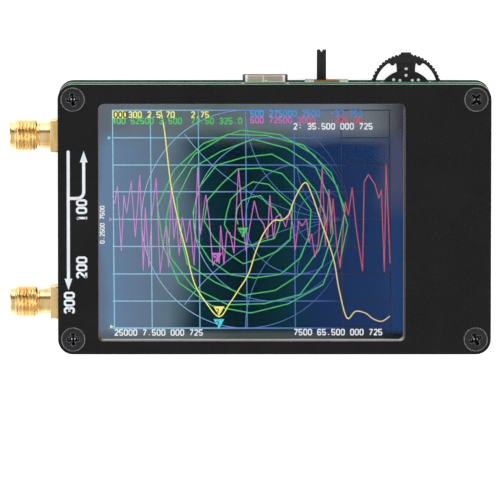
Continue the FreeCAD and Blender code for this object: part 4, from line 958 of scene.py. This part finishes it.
unlit = lit_line("unlit_figures", 0.3, (0.0, 20, 20, 14), (1.0, 26, 24, 18))
form = bmesh.new()
low, high = next_level()
for across, down in ((576, 1080), (566, 762), (576, 1019), (690, 642)):
    numbers(form, "2", on_glass(across, down), SMALL_HEIGHT, UNLIT_STROKE, low, high)
numbers(form, "000", on_glass(90, 82), FIGURE_HEIGHT, FIGURE_STROKE, low, high)
lit_piece(form, "display_unlit_figures", unlit)
print("lines stand", round(level - LIT_GLASS, 3), "mm above the glass")

# %% [markdown]
# ## Print and window edge on the front panel
#
# White ink is screened onto the resist: a long arrow down the left side, a branch that turns up beside it,
# and three short labels, which are plain numbers here. The ink stands a hundredth of a millimetre proud
# and is slightly uneven where the mesh of the screen let less through. The window was routed out after the
# resist, so its wall is bare laminate. The camera sees it as a pale line along the right and the bottom,
# where the wall's edge is broken. Resist has run over the left and upper walls and over the outermost
# tenth of a millimetre, and made them black.

# %% Screened ink
INK_LOW, INK_HIGH = PANEL_TOP - 0.02, PANEL_TOP + 0.012
ink = Recipe("panel_ink", Specular_IOR_Level=0.35)
thin = ink.rise(ink.grain(0.22, detail=2), 0.64, 0.72)
ink.coat(ink.blend(thin, ink.drift(3, (222, 227, 236), (236, 240, 246)), (176, 180, 188)),
         ink.between(ink.grain(0.5), 0.45, 0.6), ink.bump(ink.grain(0.15), 0.004))
LINE, HEAD_HALF, HEAD_LONG = 0.61, 0.76, 2.25
LONG_X, LONG_TOP, LONG_TIP = -40.65, 13.4, -13.95
BRANCH_Y, BRANCH_X, BRANCH_TIP, BRANCH_TURN = 4.21, -37.6, 13.6, 1.3


def arrow_head(form, tip, way):
    base = tip[1] - HEAD_LONG * way
    plate(form, [(tip[0] - HEAD_HALF * way, base), (tip[0] + HEAD_HALF * way, base), tip], INK_LOW, INK_HIGH)


form = bmesh.new()
strip(form, [(LONG_X, LONG_TOP), (LONG_X, LONG_TIP + HEAD_LONG)], LINE, INK_LOW, INK_HIGH)
plate(form, arc((LONG_X, LONG_TOP), LINE / 2, 0, 180), INK_LOW, INK_HIGH)
turn = arc((BRANCH_X - BRANCH_TURN, BRANCH_Y + BRANCH_TURN), BRANCH_TURN, -90, 0, 8)
strip(form, [(LONG_X + LINE / 2, BRANCH_Y), *turn, (BRANCH_X, BRANCH_TIP - HEAD_LONG)], LINE, INK_LOW,
      INK_HIGH)
arrow_head(form, (LONG_X, LONG_TIP), -1)
arrow_head(form, (BRANCH_X, BRANCH_TIP), 1)
show(form, "panel_arrows", "case", "panel_mask", ink.material)

LABEL_HEIGHT, LABEL_STROKE = 1.75, 0.44
form = bmesh.new()
for text, corner in (("100", (-37.16, -0.16)), ("200", (-37.16, -11.5)), ("300", (-39.61, -18.5))):
    numbers(form, text, corner, LABEL_HEIGHT, LABEL_STROKE, INK_LOW, INK_HIGH, 90)
show(form, "panel_numbers", "case", "panel_mask", ink.material)

# %% The window's bare wall
WINDOW_LOW, WINDOW_HIGH, WINDOW_CORNER = (-34.69, -24.11), (25.75, 22.85), 1.1
WALL_LOW, WALL_IN, WALL_OUT = 9.76, 11.2, 11.3
DIM_FROM, DIM_TO = 25.0, 25.2
RUN_OVER = (("Y", 21.6, 22.4), ("X", 25.54, 25.58), ("Y", -23.95, -23.99))
bare = Recipe("bare_laminate", Specular_IOR_Level=0.3)


def run_over(axis, start, end):
    """1 past end and 0 before start, in mm: where the resist has run over the wall and made it black."""
    return bare.rise(bare.along(axis), start * MM, end * MM)


black_wall = run_over("X", -33.5, -34.3)
for place in RUN_OVER:
    black_wall = bare.maths("MAXIMUM", black_wall, run_over(*place))
# Painted shade: the right wall, past about 25 mm across, is painted dimmer than the bottom one.
wall = bare.blend(run_over("X", DIM_FROM, DIM_TO), laminate_edge(bare, (184, 182, 175), (228, 227, 220)),
                  laminate_edge(bare, (120, 119, 115), (150, 149, 145)))
bare.coat(bare.blend(black_wall, wall, (13, 13, 14)), bare.between(bare.grain(0.3), 0.5, 0.7),
          bare.bump(bare.grain(0.12, (0.3, 0.3, 1)), 0.01))
outer = rounded(WINDOW_LOW, WINDOW_HIGH, WINDOW_CORNER, 8)
LEFT, BOTTOM, RIGHT, TOP = 0.03, 0.28, 0.3, 0.03
inner = rounded((WINDOW_LOW[0] + LEFT, WINDOW_LOW[1] + BOTTOM),
                (WINDOW_HIGH[0] - RIGHT, WINDOW_HIGH[1] - TOP), WINDOW_CORNER, 8)
form = bmesh.new()
loops = [[form.verts.new((*point, height)) for point in outline]
         for outline, height in ((outer, WALL_LOW), (outer, WALL_OUT), (inner, WALL_IN), (inner, WALL_LOW))]
skin(form, loops, True)
show(form, "window_wall", "case", "panel_mask", bare.material)

# %% [markdown]
# ## The gilt jacks
#
# Each jack is turned and threaded brass. The frame holds its envelope, a plain cylinder where the thread
# goes. The piece that replaces it is turned from a profile whose radius follows the thread: one ridge of
# sixty degrees winds round, thirty-six turns to the inch, with flattened crests, and fades out at both
# ends. A square flange and four solder legs are boxes on the same piece. The socket inside is slit into
# four springy fingers.

# %% Thread profile
THREAD_PITCH, THREAD_DEPTH, THREAD_CREST = 25.4 / 36, 0.4, 0.2
THREAD_START, THREAD_END, THREAD_RADIUS = 1.1, 5.4, 3.175
TIP_RADIUS, NECK_RADIUS, BORE_RADIUS = 2.55, 2.53, 2.06
JACK_TIP, FLANGE_FRONT, FLANGE_BACK = -52.3, -44.25, -42.75
JACK_HEIGHT = 5.8
FLANGE_HALF, FLANGE_CORNER = 3.175, 0.25
LEG_SIDE, LEG_END, LAP = 1.0, -38.15, 0.05
THREAD_FADE = 0.35
BOARD_LOW, BOARD_HIGH = 5.2, 6.4


def threaded(along, turn, radius):
    """Radius of the thread, which winds up by a pitch with each full turn; other places keep their own."""
    if radius != THREAD_RADIUS:
        return radius
    phase = (along / THREAD_PITCH - turn / math.tau) % 1
    ridge = min(1.0, abs(phase * 2 - 1) * (1 + THREAD_CREST * 2))
    ends = min(1.0, (along - THREAD_START) / THREAD_FADE, (THREAD_END - along) / THREAD_FADE)
    return THREAD_RADIUS - THREAD_DEPTH * (1 - ridge * max(ends, 0.0))


def along_jack(y):
    """The jack's own axis starts at its tip and runs towards the panels."""
    return Matrix.Translation((JACK_TIP, y, JACK_HEIGHT)) @ Matrix.Rotation(math.radians(90), 4, "Y")


def box(form, low, high):
    plate(form, [(low[0], low[1]), (high[0], low[1]), (high[0], high[1]), (low[0], high[1])], low[2], high[2])


def span(node):
    """A node's box, from its lowest to its highest corner, in mm."""
    return [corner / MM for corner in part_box(node)]


# %% Turn both jacks
THREAD_STEPS = 84
NECK_LENGTH = FLANGE_FRONT - JACK_TIP
for number in (1, 2):
    low, high = span(f"port_{number}_shell")
    y = (low.y + high.y) / 2
    form = bmesh.new()
    thread = [(THREAD_START + (THREAD_END - THREAD_START) * step / THREAD_STEPS, THREAD_RADIUS)
              for step in range(THREAD_STEPS + 1)]
    outside = [(0.0, TIP_RADIUS - 0.22), (0.05, TIP_RADIUS - 0.1), (0.22, TIP_RADIUS),
               (THREAD_START - 0.05, TIP_RADIUS)]
    neck = [(THREAD_END + 0.02, NECK_RADIUS - 0.25), (THREAD_END + 0.42, NECK_RADIUS - 0.25),
            (THREAD_END + 0.5, NECK_RADIUS), (NECK_LENGTH + 0.05, NECK_RADIUS)]
    inside = [(NECK_LENGTH + 0.05, BORE_RADIUS), (0.12, BORE_RADIUS), (0.0, BORE_RADIUS + 0.12)]
    turned(form, outside + thread + neck + inside, along_jack(y), 72, hollow=True, reach=threaded)
    flange = rounded((-FLANGE_HALF,) * 2, (FLANGE_HALF,) * 2, FLANGE_CORNER, 3)
    plate(form, flange, NECK_LENGTH, FLANGE_BACK - JACK_TIP, along_jack(y))
    for leg_y in (y - FLANGE_HALF, y + FLANGE_HALF - LEG_SIDE):
        for leg_low in (BOARD_LOW - LEG_SIDE, BOARD_HIGH):
            box(form, (FLANGE_BACK - LAP, leg_y, leg_low), (LEG_END, leg_y + LEG_SIDE, leg_low + LEG_SIDE))
    show(form, f"jack_{number}", "case", "port_gold", stands_for=[f"port_{number}_shell"], edge=0.04)

# %% [markdown]
# Inside each jack sits a gilt tube on the jack's axis, its mouth slit into four springy fingers that grip
# the plug's pin. The tube is turned hollow, and each cut of the saw is a thin bar that passes across the
# mouth.

# %% Slit the centre contacts
PIN_RADIUS, PIN_BORE, PIN_DEPTH, SLIT_HALF, SLIT_DEEP = 0.64, 0.48, 3.0, 0.07, 2.2
for number in (1, 2):
    low, high = span(f"port_{number}_contact")
    lay = along_jack((low.y + high.y) / 2)
    form = bmesh.new()
    length = high.x - low.x
    turned(form, [(0.0, PIN_BORE + 0.05), (0.0, PIN_RADIUS - 0.06), (0.08, PIN_RADIUS),
                  (length - 0.1, PIN_RADIUS), (length, PIN_RADIUS - 0.1), (length, 0.02), (PIN_DEPTH, 0.02),
                  (PIN_DEPTH, PIN_BORE), (0.05, PIN_BORE)], lay, 48, hollow=True)
    for turn in (45, 135):
        tool = bmesh.new()
        across = lay @ Matrix.Rotation(math.radians(turn), 4, "Z")
        plate(tool, [(-1, -SLIT_HALF), (1, -SLIT_HALF), (1, SLIT_HALF), (-1, SLIT_HALF)], -0.2, SLIT_DEEP,
              across)
        cut_away(form, tool)
    show(form, f"jack_contact_{number}", "case", "contact_gold", stands_for=[f"port_{number}_contact"],
         edge=0.015)

# %% [markdown]
# ## Crossed screws
#
# A crossed recess is punched: four arms that narrow towards the bottom, with a sloping rib between each
# two and a low cone at the bottom, left by the punch's tip. So one screw is turned, a tapered cross is cut
# out of its head, and the cone is set in. The same screw is then stamped at every corner, each turned by
# its own amount, because nobody stops a screwdriver at the same angle four times.

# %% Stamp a pattern
def stamp(form, pattern, place):
    """Add a copy of a drawn pattern at a place."""
    first = len(form.verts)
    form.from_mesh(pattern)
    form.verts.ensure_lookup_table()
    bmesh.ops.transform(form, matrix=place, verts=form.verts[first:])


# %% Stamp eight screws
HEAD_RADIUS, SHANK_RADIUS, SCREW_LONG, RIM = 2.35, 1.25, 3.1, 0.13
ARM_HALF, ARM_WIDE, RIB_NEAR, RIB_FAR, RECESS_DEEP = 1.34, 0.42, 0.45, 0.66, 0.85
TIP_RADIUS_AT_FOOT, TIP_HIGH = 0.46, 0.2
HOLE_X, HOLE_Y = 39.75, 23.75
form = bmesh.new()
turned(form, [(-SCREW_LONG, SHANK_RADIUS - 0.2), (-SCREW_LONG + 0.2, SHANK_RADIUS), (-1.2, SHANK_RADIUS),
              (-0.22, HEAD_RADIUS), (-RIM, HEAD_RADIUS), (0, HEAD_RADIUS - RIM)], sides=72)
cross = []
ARM = (ARM_HALF, -ARM_WIDE), (ARM_HALF, ARM_WIDE), (RIB_FAR, RIB_NEAR), (RIB_NEAR, RIB_FAR)
for turn in range(4):
    cross += [Matrix.Rotation(math.radians(90 * turn), 2) @ Vector(point) for point in ARM]
tool = bmesh.new()
plate(tool, cross, -RECESS_DEEP, 0.1, shrink=0.36)
cut_away(form, tool)
turned(form, [(-RECESS_DEEP - 0.01, TIP_RADIUS_AT_FOOT), (-RECESS_DEEP + TIP_HIGH, 0.03)], sides=32)
screw = bpy.data.meshes.new("one_screw")
form.to_mesh(screw)
form.free()
TURNS = {"front": (8, 45, 3, 23), "rear": (70, 20, 52, 35)}
for side, turns in TURNS.items():
    form = bmesh.new()
    lay = Matrix.Translation((0, 0, PANEL_TOP)) if side == "front" else Matrix.Rotation(math.pi, 4, "X")
    for turn, (x, y) in zip(turns, ((-1, 1), (1, 1), (-1, -1), (1, -1))):
        flip = 1 if side == "front" else -1
        spot = Matrix.Translation((x * HOLE_X, y * HOLE_Y * flip, 0))
        stamp(form, screw, lay @ spot @ Matrix.Rotation(math.radians(turn), 4, "Z"))
    show(form, f"{side}_crossed_screws", "case", "black_steel", stands_for=[f"{side}_screws"], edge=0.045)

# %% [markdown]
# ## Charging socket
#
# The socket's shell is one strip of steel folded round, so a seam runs down its upper side where the ends
# meet, with a dimple pressed beside it. Its shape in the frame is right, so the piece starts as a copy of
# it, and a channel and the dimple are cut into that copy. The two cut edges of the strip lie side by side
# in the channel, with a small bead in the dimple, and all are painted near white: a painted highlight.

# %% Seam and dimple
def copy_of(part):
    """The frame's own shape of a part, drawn in mm, to cut or add to."""
    form = bmesh.new()
    form.from_mesh(nodes[part].data)
    bmesh.ops.scale(form, vec=(1 / MM,) * 3, verts=form.verts)
    bmesh.ops.remove_doubles(form, verts=form.verts, dist=0.001)
    return form


def ball(form, radius, middle):
    bmesh.ops.create_icosphere(form, subdivisions=3, radius=radius, matrix=Matrix.Translation(middle))


SEAM_X, SEAM_WIDE, SEAM_DEEP = -2.2, 0.36, 0.12
STRIP_OFFSET, STRIP_WIDE = 0.085, 0.16
# Near white and hardly metallic: a painted highlight on cut and tinned metal.
painted_glint_white = mottled("painted_glint_white", (236, 236, 232), (250, 250, 247), 0.2, (0.3, 0.4), 0.003, Metallic=0.1)
SOCKET_TOP, SOCKET_BACK, SOCKET_MOUTH = 5.2, 20.9, 28.2
form = copy_of("usb_shell")
tool = bmesh.new()
box(tool, (SEAM_X - SEAM_WIDE / 2, SOCKET_BACK, SOCKET_TOP - SEAM_DEEP),
    (SEAM_X + SEAM_WIDE / 2, SOCKET_MOUTH, SOCKET_TOP + 1))
cut_away(form, tool)
tool = bmesh.new()
ball(tool, 0.34, (SEAM_X + 0.6, 27.05, SOCKET_TOP + 0.2))
cut_away(form, tool)
show(form, "charging_shell", "case", "socket_steel", stands_for=["usb_shell"], edge=0.04)
form = bmesh.new()
for side in (-1, 1):
    x = SEAM_X + side * STRIP_OFFSET
    strip(form, [(x, SOCKET_BACK), (x, SOCKET_MOUTH - 0.07)], STRIP_WIDE, SOCKET_TOP - SEAM_DEEP,
          SOCKET_TOP - 0.005)
ball(form, 0.13, (SEAM_X + 0.66, 26.96, SOCKET_TOP - 0.12))
show(form, "charging_seam", "case", "socket_steel", painted_glint_white.material, edge=0.02)

# %% [markdown]
# ## Solder
#
# Solder climbs the metal that it joins and draws into a smooth hollow fillet. Each joint here is a low
# mound: a fine ball flattened onto the board, with its foot spread wider than its top.

# %% Mounds of solder
FOOT_SPREAD, FOOT_LOW = 0.35, -0.2


def mound(form, middle, half, down=(0, 0, -1)):
    """A mound of solder; down is the way to the surface that it sits on."""
    first = len(form.verts)
    ball(form, 1.0, (0, 0, 0))
    form.verts.ensure_lookup_table()
    verts = form.verts[first:]
    turn = Vector((0, 0, -1)).rotation_difference(Vector(down)).to_matrix().to_4x4()
    for vert in verts:
        vert.co.xy *= 1 + FOOT_SPREAD * max(0.0, -vert.co.z)
        vert.co.z = max(vert.co.z, FOOT_LOW)
    place = Matrix.Translation(middle) @ Matrix.Diagonal((*half, 1)) @ turn
    bmesh.ops.transform(form, matrix=place, verts=verts)


form = bmesh.new()
for x in (-6.25, 2.5):
    mound(form, (x, 26.5, BOARD_HIGH), (0.4, 0.2, 0.1))
for number in (1, 2):
    low, high = span(f"port_{number}_shell")
    for y in (low.y + 0.5, high.y - 0.5):
        for z, way in ((BOARD_HIGH, -1), (BOARD_LOW, 1)):
            mound(form, (-40.5, y, z), (2.5, 0.95, 0.42), (0, 0, way))
show(form, "board_solder", "case", "tinned_metal")

# %% [markdown]
# The switch's steel frame is held by a tab bent over its brown base at each end. Both were tinned in the
# same bath as the pins, and their ends are ragged: each is drawn as four small teeth of different widths,
# painted near white, a painted highlight.

# %% Bent tabs of the switch
TAB_LOW, TAB_HIGH = 5.16, 5.24
TAB_NEAR, TAB_FAR = 26.72, 27.09
form = bmesh.new()
for start, teeth in ((6.08, (0.5, 0.25, 0.62, 0.4)), (12.98, (0.62, 0.3, 0.24, 0.36))):
    x = start
    for tooth in teeth:
        plate(form, [(x, TAB_NEAR), (x + tooth * 0.84, TAB_NEAR), (x + tooth * 0.7, TAB_FAR),
                     (x + tooth * 0.12, TAB_FAR)], TAB_LOW, TAB_HIGH)
        x += tooth
show(form, "switch_tabs", "case", "socket_steel", painted_glint_white.material, edge=0.02)

# %% [markdown]
# ## Studs and contact of the thumb wheel
#
# Five staked studs hold the wheel's flat black cover. Each was a pin whose end was spun into a low dome
# and tinned, so each is turned from a domed profile and painted near white, a painted highlight. A sixth
# bright spot sits on the wheel's spoke: the tinned end of a contact, painted near white in the same way,
# with a gilt leaf above it, pressed into the moulding, and it moves with the wheel.

# %% Domed studs
STUDS = ((26.0, 28.01), (23.56, 27.16), (24.8, 27.01), (27.24, 27.01), (28.44, 27.12))
STUD_RADIUS, COVER_TOP, STUD_DOME = 0.3, 4.8, 0.14
form = bmesh.new()
for x, y in STUDS:
    dome = [(0, STUD_RADIUS), *((STUD_DOME * share, STUD_RADIUS * math.sqrt(1 - share * share) + 0.02)
                                for share in (0.35, 0.6, 0.8, 0.92, 1.0))]
    turned(form, dome, Matrix.Translation((x, y, COVER_TOP)), 24)
show(form, "wheel_studs", "case", "tinned_metal", painted_glint_white.material, ["jog_studs"])

# %% The contact on the spoke
CONTACT_LOW, CONTACT_HIGH = (25.74, 28.86), (26.32, 29.38)
form = bmesh.new()
plate(form, rounded(CONTACT_LOW, CONTACT_HIGH, 0.12, 3), 4.0, 4.14)
show(form, "wheel_contact", "jog_lever", "contact_gold", painted_glint_white.material, ["jog_wiper"], edge=0.04)
form = bmesh.new()
plate(form, rounded((25.7, CONTACT_HIGH[1] - 0.02), (26.36, CONTACT_HIGH[1] + 0.12), 0.05, 2), 4.0, 4.12)
show(form, "wheel_contact_leaf", "jog_lever", "contact_gold", finishes["port_gold"], edge=0.02)
